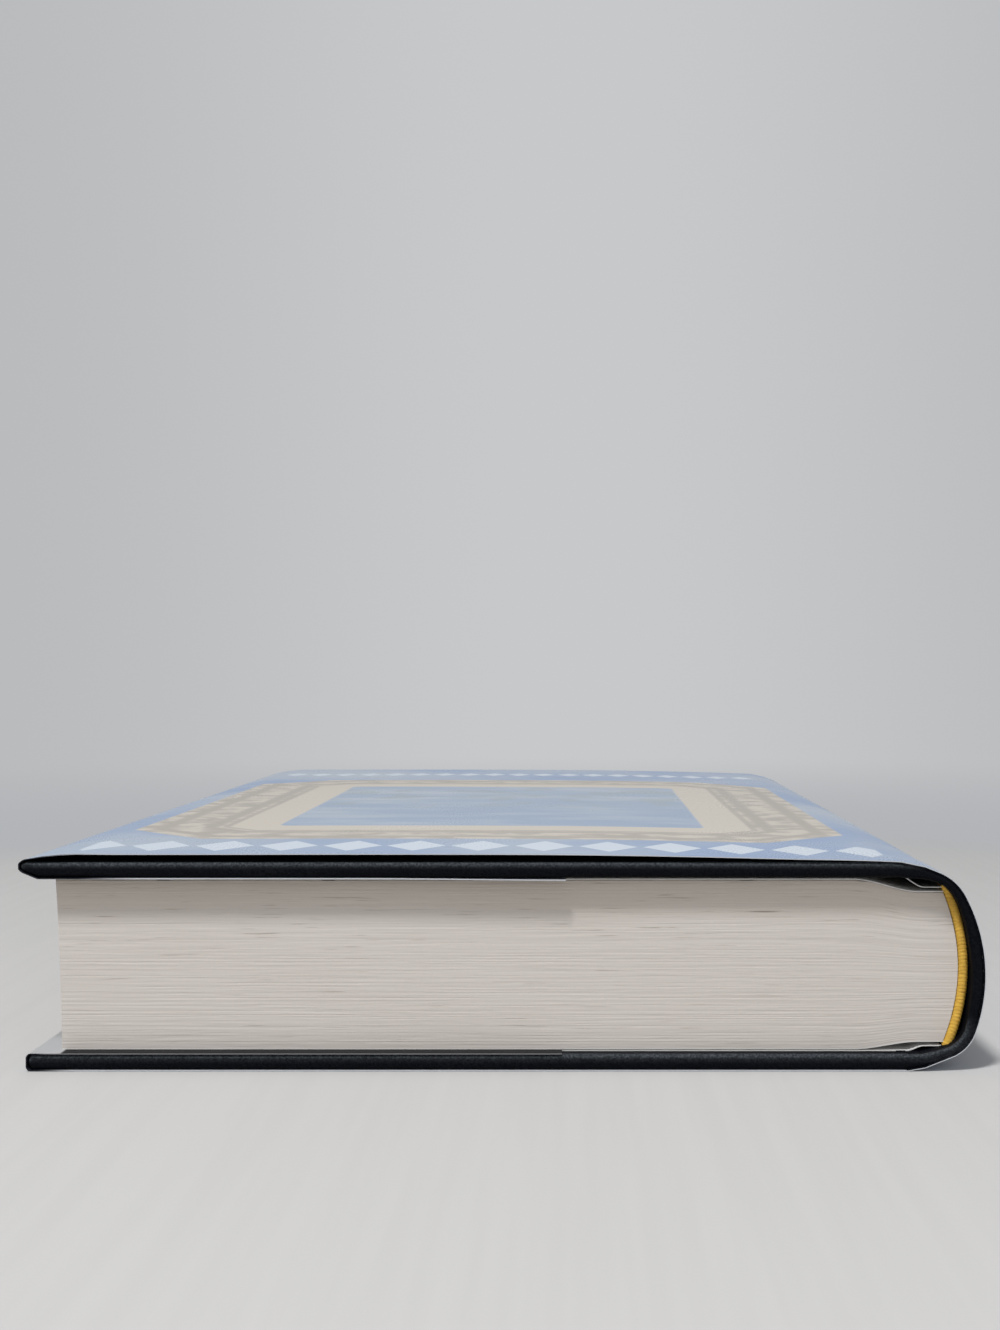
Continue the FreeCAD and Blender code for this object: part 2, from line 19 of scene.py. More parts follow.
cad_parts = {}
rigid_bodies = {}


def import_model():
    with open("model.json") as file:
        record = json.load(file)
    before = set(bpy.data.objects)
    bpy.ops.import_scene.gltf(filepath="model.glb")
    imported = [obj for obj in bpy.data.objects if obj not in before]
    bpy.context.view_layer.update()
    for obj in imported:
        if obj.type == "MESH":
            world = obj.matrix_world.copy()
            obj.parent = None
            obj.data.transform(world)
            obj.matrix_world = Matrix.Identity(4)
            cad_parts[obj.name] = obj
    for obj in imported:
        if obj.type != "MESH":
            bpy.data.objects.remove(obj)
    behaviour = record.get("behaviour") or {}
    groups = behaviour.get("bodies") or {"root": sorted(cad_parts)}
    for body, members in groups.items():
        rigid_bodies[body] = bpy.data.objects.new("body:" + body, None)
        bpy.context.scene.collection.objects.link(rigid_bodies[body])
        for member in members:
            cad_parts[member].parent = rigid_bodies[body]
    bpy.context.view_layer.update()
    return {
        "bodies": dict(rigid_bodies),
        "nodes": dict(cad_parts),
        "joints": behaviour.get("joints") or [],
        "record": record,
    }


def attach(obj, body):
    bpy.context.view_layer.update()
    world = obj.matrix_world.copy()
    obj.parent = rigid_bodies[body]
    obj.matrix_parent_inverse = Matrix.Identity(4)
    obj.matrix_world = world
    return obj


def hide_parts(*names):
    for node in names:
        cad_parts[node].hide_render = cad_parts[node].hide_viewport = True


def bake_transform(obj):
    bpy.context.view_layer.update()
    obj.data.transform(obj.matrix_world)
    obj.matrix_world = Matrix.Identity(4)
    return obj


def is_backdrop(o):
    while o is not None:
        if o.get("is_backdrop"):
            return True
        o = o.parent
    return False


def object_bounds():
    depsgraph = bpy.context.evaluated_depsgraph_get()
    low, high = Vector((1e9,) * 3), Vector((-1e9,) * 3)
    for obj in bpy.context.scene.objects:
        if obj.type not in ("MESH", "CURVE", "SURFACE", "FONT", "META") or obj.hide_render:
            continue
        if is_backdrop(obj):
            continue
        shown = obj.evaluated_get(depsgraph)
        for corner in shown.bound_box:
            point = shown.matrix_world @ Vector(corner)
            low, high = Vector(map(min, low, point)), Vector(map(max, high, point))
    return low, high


LOG = logging.getLogger("book")
MM = 0.001
SEED = 6625

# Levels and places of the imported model, in millimetres
HALF_WIDTH = 83.05
HINGE_X = 72.6
FRONT_HINGE_Z = 35.15
BACK_HINGE_Z = 0.5
HALF_CASE = 120.65
HALF_LEAF = 117.5
JACKET = 0.15
CLOTH = 0.25
ENDPAPER = 0.15
FRONT_EDGE_X = 68.45
BACK_EDGE_X = 69.75
FRONT_LEFT_X = -82.8
BACK_LEFT_X = -81.5
FRONT_TOP_Z = 36.0
BOW_TOP_Z = 37.5
BOW_LEVEL_X = -70.0
FRONT_FLAP_Z = 32.95
FRONT_TURN_Z = 33.25
BACK_TURN_Z = 2.75
BACK_FLAP_Z = 3.05
SQUARE = 3.15
TURN_IN = 15.0
JOINT_LAP = 12.0
BOARD_RISE = 2.6                   # a covered board from its turned-in side to its outer side
COVER_ROUNDING = 1.05              # rounding of a covered board's edges
BOARD_ROUNDING = 0.95              # and of the bare board's inside it
EMBOSS_WIDTH = 0.9                 # width of the step where a pasted leaf meets the bare board
JOINT_LEAD = 0.3                   # the endpapers run on flat by this past a board's edge
HINGE_LEAD = 0.4                   # and are level again by this past the hinge line
JOINT_CUT = 0.2                    # where the pasted leaf ends and its bending joint starts
PINCH_START_X = 60.7               # the leaves thin from here towards the joint
PINCH_END_X = 72.1                 # to here
LEAF_TOP_X = -77.6                 # fore-edge of the top leaf
LEAF_LOW_X = -76.5                 # fore-edge of the bottom leaf
LEAF_SPINE_X = 76.3                # the leaves end here and the endpapers fold round them
LEAF_LOW_Z = 3.2
LEAF_TOP_Z = 32.5
PINCH_LOW = 1.3                    # the lowest leaf rises by this towards the joint
PINCH_TOP = 2.15                   # and the highest one falls by this
PAPER_FOLD = 0.45                  # radius of an endpaper's fold
NOSE_X = -79.75                    # the front cover is rounded off from here to its fore-edge
NOSE_LENGTH = 3.3                  # over this length
NOSE_RISE = 1.25                   # and by this height
COVER_DEPTH = 2.8                  # the front cover from its outer side to its lower one
ROUND_RADIUS = 1.4                 # rounding of the jacket over the front fore-edge
ROUND_Z = 35.0                     # level of that rounding's centre
FOLD_RADIUS = 0.85                 # fold of the jacket on to its flaps
BACK_FOLD_X = -80.9
FRONT_FLAP_END_X = 10.95
BACK_FLAP_END_X = 10.25
FRONT_SHOULDER_RADIUS = 9.0
BACK_SHOULDER_RADIUS = 7.0
JOINT_SLOPE = 21.5                 # degrees that the joints fall
PANEL_SWELL = 0.32                 # waves of the front panel
PANEL_SLACK = 0.18                 # and how far its middle lies deeper
FLAP_SAG = 0.26                    # the front flap hangs down by this at its end
MIDDLE_Z = 17.0                    # parts the front joint from the back one
COARSE_PITCH = 3.0                 # longest step between two samples of a section line
FINE_PITCH = 0.5                   # and at the joints
SPINE_RADIUS = 29.0
SPINE_CENTRE = (54.05, 16.439)
BEND_SPINE_X = 76.4                # a bending joint starts here, on the side of the spine
BEND_COVER_X = 68.6                # and ends here, on the side of its cover

Point = tuple[float, float]
Shape = Callable[[Vector], Vector]


class Body(Enum):
    """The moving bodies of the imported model."""

    BACK = "back_cover"
    BLOCK = "book_block"
    FRONT = "front_cover"


class Slot(Enum):
    """The record's material slots."""

    JACKET = "jacket_print"
    COVER = "cover_paper"
    BOARD = "grey_board"
    LEAVES = "leaves"
    ENDPAPER = "endpaper"
    BAND = "headband"
    GAUZE = "gauze"
    KRAFT = "kraft"
    CARD = "spine_card"


# Section lines


def smooth(share: float) -> float:
    """Eased share, held between 0 and 1."""
    share = min(1.0, max(0.0, share))
    return share * share * (3 - 2 * share)


class SectionLine:
    """A line of the section that is sampled while it is drawn."""

    def __init__(self, x: float, z: float, pitch: float = COARSE_PITCH) -> None:
        """Starts at a place across the book and a level, with the longest step between samples."""
        self.points: list[Point] = [(x, z)]
        self.pitch = pitch

    def to(self, x: float, z: float) -> "SectionLine":
        """Runs straight to a point.

        Args:
            x: place across the book.
            z: level.

        Returns:
            The line itself.
        """
        start = self.points[-1]
        length = math.dist(start, (x, z))
        steps = max(1, math.ceil(length / self.pitch))
        for step in range(1, steps + 1):
            share = step / steps
            self.points.append((start[0] + (x - start[0]) * share,
                                start[1] + (z - start[1]) * share))
        return self

    def ease_to(self, x: float, z: float) -> "SectionLine":
        """Runs to a point in a soft S, level at both ends.

        Args:
            x: place across the book.
            z: level.

        Returns:
            The line itself.
        """
        start = self.points[-1]
        steps = max(8, math.ceil(abs(x - start[0]) / self.pitch))
        for step in range(1, steps + 1):
            share = step / steps
            self.points.append((start[0] + (x - start[0]) * share,
                                start[1] + (z - start[1]) * smooth(share)))
        return self

    def turn(self, centre: Point, sweep: float) -> "SectionLine":
        """Runs on along a circle.

        Args:
            centre: the circle's centre.
            sweep: degrees to go on, positive against the clock.

        Returns:
            The line itself.
        """
        start = self.points[-1]
        radius = math.dist(start, centre)
        begin = math.atan2(start[1] - centre[1], start[0] - centre[0])
        length = radius * math.radians(abs(sweep))
        steps = max(3, math.ceil(abs(sweep) / 7.0), math.ceil(length / self.pitch))
        for step in range(1, steps + 1):
            way = begin + math.radians(sweep) * step / steps
            self.points.append((centre[0] + radius * math.cos(way),
                                centre[1] + radius * math.sin(way)))
        return self

    def turn_to(self, centre: Point, end: Point) -> "SectionLine":
        """Runs the short way round a circle.

        Args:
            centre: the circle's centre.
            end: a point of the circle.

        Returns:
            The line itself.
        """
        start = self.points[-1]
        begin = math.atan2(start[1] - centre[1], start[0] - centre[0])
        finish = math.atan2(end[1] - centre[1], end[0] - centre[0])
        sweep = (finish - begin + math.pi) % (2 * math.pi) - math.pi
        return self.turn(centre, math.degrees(sweep))


@dataclass(frozen=True)
class Stretch:
    """A part of a section line, with the running length at each of its points."""

    points: tuple[Point, ...]
    along: tuple[float, ...]

    @classmethod
    def of(cls, line: SectionLine, zero: float = 0.0) -> "Stretch":
        """Measures a whole line.

        Args:
            line: the sampled line.
            zero: running length that counts as nought.

        Returns:
            The stretch from the line's start to its end.
        """
        along = [-zero]
        for first, second in zip(line.points, line.points[1:]):
            along.append(along[-1] + math.dist(first, second))
        return cls(tuple(line.points), tuple(along))

    def cut(self, low: float, high: float) -> "Stretch":
        """Keeps what lies between two running lengths.

        Args:
            low: start of the kept part.
            high: its end.

        Returns:
            The kept part, with a point exactly at each end.
        """
        low, high = max(low, self.along[0]), min(high, self.along[-1])
        inner = [(p, u) for p, u in zip(self.points, self.along) if low + 1e-4 < u < high - 1e-4]
        samples = [(self.place(low), low), *inner, (self.place(high), high)]
        return Stretch(tuple(p for p, _ in samples), tuple(u for _, u in samples))

    def place(self, length: float) -> Point:
        """The point at a running length.

        Args:
            length: the running length.

        Returns:
            The point, between the two samples beside it.
        """
        for index in range(len(self.along) - 1):
            first, second = self.along[index], self.along[index + 1]
            if length <= second + 1e-9:
                share = (length - first) / (second - first)
                a, b = self.points[index], self.points[index + 1]
                return (a[0] + (b[0] - a[0]) * share, a[1] + (b[1] - a[1]) * share)
        return self.points[-1]

    def beside(self, distance: float) -> "Stretch":
        """The same stretch moved sideways.

        Args:
            distance: how far to the left of travel, or to the right if negative.

        Returns:
            The moved stretch, with the running lengths kept.
        """
        moved = []
        for index, here in enumerate(self.points):
            before = self.points[max(index - 1, 0)]
            after = self.points[min(index + 1, len(self.points) - 1)]
            ways = []
            for a, b in ((before, here), (here, after)):
                length = math.dist(a, b)
                if length > 1e-9:
                    ways.append((-(b[1] - a[1]) / length, (b[0] - a[0]) / length))
            total = (sum(w[0] for w in ways), sum(w[1] for w in ways))
            size = math.hypot(*total)
            normal = (total[0] / size, total[1] / size)
            stretch = normal[0] * ways[0][0] + normal[1] * ways[0][1]
            moved.append((here[0] + normal[0] * distance / stretch,
                          here[1] + normal[1] * distance / stretch))
        return Stretch(tuple(moved), self.along)


def shoulder(hinge: Point, side: int, radius: float,
             slope: float = JOINT_SLOPE) -> tuple[Point, ...]:
    """The straight joint and the round that carries it over into the spine.

    Args:
        hinge: the hinge line in the section.
        side: 1 at the front, -1 at the back.
        radius: radius of the round.
        slope: degrees that the joint falls.

    Returns:
        The end of the straight, the centre of the round and the point where it meets the spine.
    """
    turn = math.radians(slope)
    way = Vector((math.cos(turn), -side * math.sin(turn)))
    inwards = Vector((-math.sin(turn), -side * math.cos(turn)))
    base = Vector(hinge) + inwards * radius
    apart = base - Vector(SPINE_CENTRE)
    half = apart.dot(way)
    reach = math.sqrt(half ** 2 - apart.dot(apart) + (SPINE_RADIUS - radius) ** 2) - half
    centre = base + way * reach
    out = (centre - Vector(SPINE_CENTRE)).normalized()
    meeting = Vector(SPINE_CENTRE) + out * SPINE_RADIUS
    return tuple(centre - inwards * radius), tuple(centre), tuple(meeting)


def nose(x: float, z: float) -> float:
    """How far the lower side of the front cover rises towards its rounded fore-edge.

    Args:
        x: place across the book.
        z: level on the square-cut cover.

    Returns:
        The rise in millimetres.
    """
    towards_edge = max(0.0, (NOSE_X - x) / NOSE_LENGTH)
    depth = min(1.1, max(0.0, (FRONT_TOP_Z - z) / COVER_DEPTH))
    return NOSE_RISE * towards_edge * depth


def jacket_line() -> Stretch:
    """The whole jacket from the end of the front flap round the spine to the back flap.

    Returns:
        The printed side of the jacket. Running length is nought at the front hinge line,
        and the outside lies to the left.
    """
    front_fold_x = -HALF_WIDTH + FOLD_RADIUS
    line = SectionLine(FRONT_FLAP_END_X, FRONT_FLAP_Z).to(NOSE_X, FRONT_FLAP_Z)
    line.to(front_fold_x, FRONT_FLAP_Z).turn((front_fold_x, FRONT_FLAP_Z + FOLD_RADIUS), -90)
    small_centre = Vector((-HALF_WIDTH + ROUND_RADIUS, ROUND_Z))
    level = Vector((BOW_LEVEL_X, BOW_TOP_Z))
    gap = level - small_centre
    large = (gap.dot(gap) - ROUND_RADIUS ** 2) / (2 * (gap.y - ROUND_RADIUS))
    large_centre = level - Vector((0, large))
    meeting = large_centre + (small_centre - large_centre).normalized() * large
    line.to(-HALF_WIDTH, ROUND_Z).turn_to(tuple(small_centre), tuple(meeting))
    line.turn_to(tuple(large_centre), tuple(level)).to(0, BOW_TOP_Z)
    fall = BOW_TOP_Z - FRONT_TOP_Z
    bow = (FRONT_EDGE_X ** 2 + fall ** 2) / (2 * fall)
    line.turn_to((0, BOW_TOP_Z - bow), (FRONT_EDGE_X, FRONT_TOP_Z))
    line.pitch = FINE_PITCH
    line.to(HINGE_X, FRONT_HINGE_Z)
    zero = Stretch.of(line).along[-1]
    straight, centre, meeting = shoulder((HINGE_X, FRONT_HINGE_Z), 1, FRONT_SHOULDER_RADIUS)
    line.to(*straight).turn_to(centre, meeting)
    straight, centre, meeting = shoulder((HINGE_X, BACK_HINGE_Z), -1, BACK_SHOULDER_RADIUS)
    line.turn_to(SPINE_CENTRE, meeting).turn_to(centre, straight).to(HINGE_X, BACK_HINGE_Z)
    line.to(BACK_EDGE_X, 0)
    line.pitch = COARSE_PITCH
    upper_z = BACK_FLAP_Z - FOLD_RADIUS
    line.to(BACK_FOLD_X, 0).turn((BACK_FOLD_X, FOLD_RADIUS), -90)
    line.to(BACK_FOLD_X - FOLD_RADIUS, upper_z).turn((BACK_FOLD_X, upper_z), -90)
    line.to(BACK_FLAP_END_X, BACK_FLAP_Z)
    return Stretch.of(line, zero)


JACKET_LINE = jacket_line()


def running_at(stretch: Stretch, x: float, high: bool) -> float:
    """The running length where a line crosses a place across the book.

    Args:
        stretch: the line.
        x: place across the book.
        high: whether the crossing above half the book's height is meant.

    Returns:
        The running length of the crossing nearest to the spine.
    """
    best = stretch.along[0]
    reach = -math.inf
    for index in range(len(stretch.points) - 1):
        a, b = stretch.points[index], stretch.points[index + 1]
        inside = min(a[0], b[0]) <= x <= max(a[0], b[0]) and a[0] != b[0]
        level = (a[1] + b[1]) / 2
        if inside and (level > MIDDLE_Z) == high and (level if high else -level) > reach:
            share = (x - a[0]) / (b[0] - a[0])
            best = stretch.along[index] + share * (stretch.along[index + 1]
                                                   - stretch.along[index])
            reach = level if high else -level
    return best


# Mesh helpers


def link(name: str, bm: bmesh.types.BMesh, finishes: Sequence[bpy.types.Material],
         smooth_below: float = 40.0) -> bpy.types.Object:
    """Turns a built mesh into an object of the scene.

    Args:
        name: the piece's name.
        bm: the mesh, freed here.
        finishes: its materials, in order.
        smooth_below: edges with a smaller turn than this, in degrees, are shaded smooth.

    Returns:
        The object.
    """
    mesh = bpy.data.meshes.new(name)
    bm.to_mesh(mesh)
    bm.free()
    made = bpy.data.objects.new(name, mesh)
    bpy.context.scene.collection.objects.link(made)
    for finish in finishes:
        mesh.materials.append(finish)
    mesh.shade_smooth()
    mesh.set_sharp_from_angle(angle=math.radians(smooth_below))
    LOG.info("%s: %d faces", name, len(mesh.polygons))
    return made


def settle(made: bpy.types.Object, smooth_below: float = 40.0) -> bpy.types.Object:
    """Makes an object's modifiers part of its mesh.

    Args:
        made: the object.
        smooth_below: edges with a smaller turn than this, in degrees, are shaded smooth.

    Returns:
        The same object with the final mesh and no modifiers.
    """
    graph = bpy.context.evaluated_depsgraph_get()
    final = bpy.data.meshes.new_from_object(made.evaluated_get(graph))
    made.modifiers.clear()
    made.data = final
    final.shade_smooth()
    final.set_sharp_from_angle(angle=math.radians(smooth_below))
    return made


@dataclass
class Sheet:
    """A sheet of even thickness that follows a stretch of a section line.

    The stretch is its outer side if outside_left, with the paper to the right of travel.
    """

    name: str
    stretch: Stretch
    thickness: float
    half: float = HALF_CASE
    rows: int = 40
    outside_left: bool = True
    shape: Optional[Shape] = None

    def make(self, outer: bpy.types.Material, inner: Optional[bpy.types.Material] = None,
             rim: Optional[bpy.types.Material] = None) -> bpy.types.Object:
        """Builds the sheet.

        Args:
            outer: finish of the outer side.
            inner: finish of the inner side, or the outer one.
            rim: finish of the cut edges, or the inner one.

        Returns:
            The object, its modifiers already settled.
        """
        bm = bmesh.new()
        along = bm.verts.layers.float.new("along")
        corners = []
        for (x, z), length in zip(self.stretch.points, self.stretch.along):
            corner = bm.verts.new((x * MM, -self.half * MM, z * MM))
            corner[along] = length * MM
            corners.append(corner)
        front = [bm.edges.new(pair) for pair in zip(corners, corners[1:])]
        for _ in range(self.rows):
            made = bmesh.ops.extrude_edge_only(bm, edges=front)["geom"]
            moved = [g for g in made if isinstance(g, bmesh.types.BMVert)]
            step = Vector((0, 2 * self.half * MM / self.rows, 0))
            bmesh.ops.translate(bm, verts=moved, vec=step)
            front = [g for g in made if isinstance(g, bmesh.types.BMEdge)
                     and all(v in moved for v in g.verts)]
        print_map = bm.loops.layers.uv.new("print")
        for face in bm.faces:
            for loop in face.loops:
                loop[print_map].uv = (loop.vert[along], loop.vert.co.y)
        bm.normal_update()
        self._face_out(bm)
        if self.shape is not None:
            for vert in bm.verts:
                vert.co = self.shape(vert.co.copy())
        inner = inner or outer
        made = link(self.name, bm, (outer, inner, rim or inner))
        modifier = made.modifiers.new("thickness", "SOLIDIFY")
        modifier.thickness = self.thickness * MM
        modifier.offset = -1
        modifier.use_even_offset = True
        modifier.material_offset = 1
        modifier.material_offset_rim = 2
        return settle(made)

    def _face_out(self, bm: bmesh.types.BMesh) -> None:
        """Turns all faces to the outer side.

        Args:
            bm: the sheet before it has a thickness.
        """
        bm.faces.ensure_lookup_table()
        (x0, z0), (x1, z1) = self.stretch.points[:2]
        left = Vector((-(z1 - z0), 0, x1 - x0))
        wanted = left if self.outside_left else -left
        nearest = min(bm.faces, key=lambda f: (f.calc_center_median()
                                               - Vector((x0 * MM, -self.half * MM, z0 * MM))).length)
        if nearest.normal.dot(wanted) < 0:
            bmesh.ops.reverse_faces(bm, faces=bm.faces[:])


# Node wiring


class Wire:
    """A value in a node tree. Arithmetic on it adds the nodes that work it out."""

    def __init__(self, tree: bpy.types.NodeTree, socket: bpy.types.NodeSocket) -> None:
        """Wraps the output socket that carries the value in a node tree."""
        self.tree = tree
        self.socket = socket

    def math(self, operation: str, *others: "Wire | float") -> "Wire":
        """Adds a math node.

        Args:
            operation: its operation.
            others: the other operands.

        Returns:
            The result.
        """
        node = self.tree.nodes.new("ShaderNodeMath")
        node.operation = operation
        for index, value in enumerate((self, *others)):
            if isinstance(value, Wire):
                self.tree.links.new(value.socket, node.inputs[index])
            else:
                node.inputs[index].default_value = value
        return Wire(self.tree, node.outputs[0])

    def __add__(self, other: "Wire | float") -> "Wire":
        """Sum."""
        return self.math("ADD", other)

    def __sub__(self, other: "Wire | float") -> "Wire":
        """Difference."""
        return self.math("SUBTRACT", other)

    def __mul__(self, other: "Wire | float") -> "Wire":
        """Product."""
        return self.math("MULTIPLY", other)

    def abs(self) -> "Wire":
        """Value without its sign."""
        return self.math("ABSOLUTE")

    def max(self, other: "Wire | float") -> "Wire":
        """The larger of two."""
        return self.math("MAXIMUM", other)

    def min(self, other: "Wire | float") -> "Wire":
        """The smaller of two."""
        return self.math("MINIMUM", other)

    def repeat(self, pitch: float) -> "Wire":
        """Place within a repeat, from minus half a pitch to half a pitch."""
        return self.math("WRAP", pitch / 2, -pitch / 2)

    def ease(self, start: float, end: float, low: float = 0.0, high: float = 1.0) -> "Wire":
        """Smooth change between two values.

        Args:
            start: input at which the change begins.
            end: input at which it is done.
            low: result before the change.
            high: result after it.

        Returns:
            The eased value.
        """
        node = self.tree.nodes.new("ShaderNodeMapRange")
        node.interpolation_type = "SMOOTHSTEP"
        self.tree.links.new(self.socket, node.inputs["Value"])
        for name, value in zip(("From Min", "From Max", "To Min", "To Max"),
                               (start, end, low, high)):
            node.inputs[name].default_value = value
        return Wire(self.tree, node.outputs["Result"])

    def below(self, edge: float, soft: float) -> "Wire":
        """1 where the value is under an edge, 0 above it."""
        return self.ease(edge - soft, edge + soft, 1.0, 0.0)

    def above(self, edge: float, soft: float) -> "Wire":
        """1 where the value is over an edge, 0 under it."""
        return self.ease(edge - soft, edge + soft)


Colour = tuple[float, float, float]

MIX_COLOUR_INPUTS = (0, 6, 7)      # sockets of a mix node that is set to colours
MIX_COLOUR_OUTPUT = 2


class Palette:
    """Builds node trees: coordinates, noises, mixes and the shader."""

    def __init__(self, tree: bpy.types.NodeTree) -> None:
        """Starts on the tree of a material, a group or the world."""
        self.tree = tree

    def node(self, kind: str, **inputs: object) -> bpy.types.Node:
        """Adds a node.

        Args:
            kind: the node's type.
            inputs: values or wires for its inputs, with _ for a space.

        Returns:
            The node.
        """
        made = self.tree.nodes.new(kind)
        for name, value in inputs.items():
            self.feed(made.inputs[name.replace("_", " ")], value)
        return made

    def feed(self, socket: bpy.types.NodeSocket, value: object) -> None:
        """Gives an input its value.

        Args:
            socket: the input.
            value: a wire, a number or a colour.
        """
        if isinstance(value, Wire):
            self.tree.links.new(value.socket, socket)
        elif isinstance(value, tuple) and socket.type == "RGBA":
            socket.default_value = (*value, 1.0)
        else:
            socket.default_value = value

    def wire(self, node: bpy.types.Node, output: str | int = 0) -> Wire:
        """A node's output as a wire."""
        return Wire(self.tree, node.outputs[output])

    def place(self) -> Wire:
        """Object coordinates."""
        return self.wire(self.node("ShaderNodeTexCoord"), "Object")

    def uv(self) -> Wire:
        """The layout of a sheet.

        Returns:
            Its running length and its place in Y, in metres.
        """
        node = self.node("ShaderNodeUVMap")
        node.uv_map = "print"
        return self.wire(node, "UV")

    def split(self, vector: Wire) -> tuple[Wire, Wire, Wire]:
        """The three parts of a vector."""
        node = self.node("ShaderNodeSeparateXYZ", Vector=vector)
        return self.wire(node, 0), self.wire(node, 1), self.wire(node, 2)

    def scaled(self, vector: Wire, scale: tuple[float, float, float]) -> Wire:
        """A vector stretched along its axes.

        Args:
            vector: the vector.
            scale: how often it is lengthened along each axis.

        Returns:
            The stretched vector.
        """
        node = self.node("ShaderNodeVectorMath", Vector=vector)
        node.operation = "MULTIPLY"
        node.inputs[1].default_value = scale
        return self.wire(node, 0)

    def noise(self, vector: Wire, scale: float, detail: float = 3.0, rough: float = 0.5) -> Wire:
        """Smooth noise from 0 to 1.

        Args:
            vector: where to look it up.
            scale: repeats in a metre.
            detail: octaves.
            rough: strength of the finer ones.

        Returns:
            The noise.
        """
        node = self.node("ShaderNodeTexNoise", Vector=vector, Scale=scale, Detail=detail,
                         Roughness=rough)
        return self.wire(node, 0)

    def streaks(self, vector: Wire, scale: tuple[float, float, float], detail: float = 3.0,
                rough: float = 0.5) -> Wire:
        """Smooth noise from 0 to 1 with its own repeats in a metre along each axis."""
        return self.noise(self.scaled(vector, scale), 1.0, detail, rough)

    def cells(self, vector: Wire, scale: float) -> Wire:
        """Distance from the nearest of many scattered points."""
        return self.wire(self.node("ShaderNodeTexVoronoi", Vector=vector, Scale=scale), "Distance")

    def mix(self, share: "Wire | float", first: "Wire | Colour", second: "Wire | Colour") -> Wire:
        """A colour between two.

        Args:
            share: 0 for the first, 1 for the second.
            first: the first colour.
            second: the second colour.

        Returns:
            The mixed colour.
        """
        node = self.node("ShaderNodeMix")
        node.data_type = "RGBA"
        for index, value in zip(MIX_COLOUR_INPUTS, (share, first, second)):
            self.feed(node.inputs[index], value)
        return self.wire(node, MIX_COLOUR_OUTPUT)

    def bump(self, height: Wire, strength: float, distance: float,
             normal: Optional[Wire] = None) -> Wire:
        """A normal from a height.

        Args:
            height: the height, 0 to 1.
            strength: share of the effect.
            distance: height in metres that 1 stands for.
            normal: a normal to build on.

        Returns:
            The normal.
        """
        node = self.node("ShaderNodeBump", Height=height, Strength=strength, Distance=distance)
        if normal is not None:
            self.feed(node.inputs["Normal"], normal)
        return self.wire(node, 0)

    def group(self, tree: bpy.types.NodeTree, **inputs: object) -> bpy.types.Node:
        """Adds a shared group.

        Args:
            tree: the group's tree.
            inputs: values or wires for its inputs.

        Returns:
            The group node.
        """
        node = self.tree.nodes.new("ShaderNodeGroup")
        node.node_tree = tree
        for name, value in inputs.items():
            self.feed(node.inputs[name.replace("_", " ")], value)
        return node


def new_group(name: str, inputs: Iterable[tuple[str, str, float]],
              outputs: Iterable[tuple[str, str]]) -> tuple[Palette, dict[str, Wire],
                                                           bpy.types.Node]:
    """Starts a shared node group.

    Args:
        name: the group's name.
        inputs: name, socket kind and default value of each input.
        outputs: name and socket kind of each output.

    Returns:
        The palette for its tree, its inputs by name and its output node.
    """
    tree = bpy.data.node_groups.new(name, "ShaderNodeTree")
    for title, kind, value in inputs:
        socket = tree.interface.new_socket(title, in_out="INPUT", socket_type=kind)
        if kind == "NodeSocketFloat":
            socket.default_value = value
    for title, kind in outputs:
        tree.interface.new_socket(title, in_out="OUTPUT", socket_type=kind)
    begin = tree.nodes.new("NodeGroupInput")
    end = tree.nodes.new("NodeGroupOutput")
    wires = {socket.name: Wire(tree, socket) for socket in begin.outputs if socket.name}
    return Palette(tree), wires, end


def fibre_group() -> bpy.types.NodeTree:
    """Uneven tone and fine tooth of paper, shared by all paper finishes.

    Returns:
        The group's tree.
    """
    palette, given, end = new_group(
        "paper_fibre",
        (("Vector", "NodeSocketVector", 0.0), ("Depth", "NodeSocketFloat", 0.00002)),
        (("Tone", "NodeSocketFloat"), ("Normal", "NodeSocketVector")))
    cloud = palette.noise(given["Vector"], scale=28.0, detail=2.0)
    tooth = palette.noise(given["Vector"], scale=2400.0, detail=3.0)
    node = palette.node("ShaderNodeBump", Height=tooth, Strength=0.5, Distance=given["Depth"])
    palette.feed(end.inputs["Tone"], cloud * 0.7 + tooth * 0.3)
    palette.feed(end.inputs["Normal"], palette.wire(node))
    return palette.tree


def grain_group() -> bpy.types.NodeTree:
    """The pressed grain of the covering paper.

    Returns:
        The group's tree.
    """
    palette, given, end = new_group(
        "pressed_grain", (("Vector", "NodeSocketVector", 0.0),),
        (("Grain", "NodeSocketFloat"), ("Normal", "NodeSocketVector")))
    pits = palette.cells(given["Vector"], scale=2100.0).ease(0.1, 0.75)
    swell = palette.noise(given["Vector"], scale=900.0, detail=2.0)
    grain = pits * 0.65 + swell * 0.35
    palette.feed(end.inputs["Grain"], grain)
    palette.feed(end.inputs["Normal"], palette.bump(grain, strength=0.75, distance=0.00009))
    return palette.tree


@dataclass(frozen=True)
class Finish:
    """Base colours and gloss of a material."""

    base: Colour
    second: Colour
    rough: float
    specular: float = 0.4


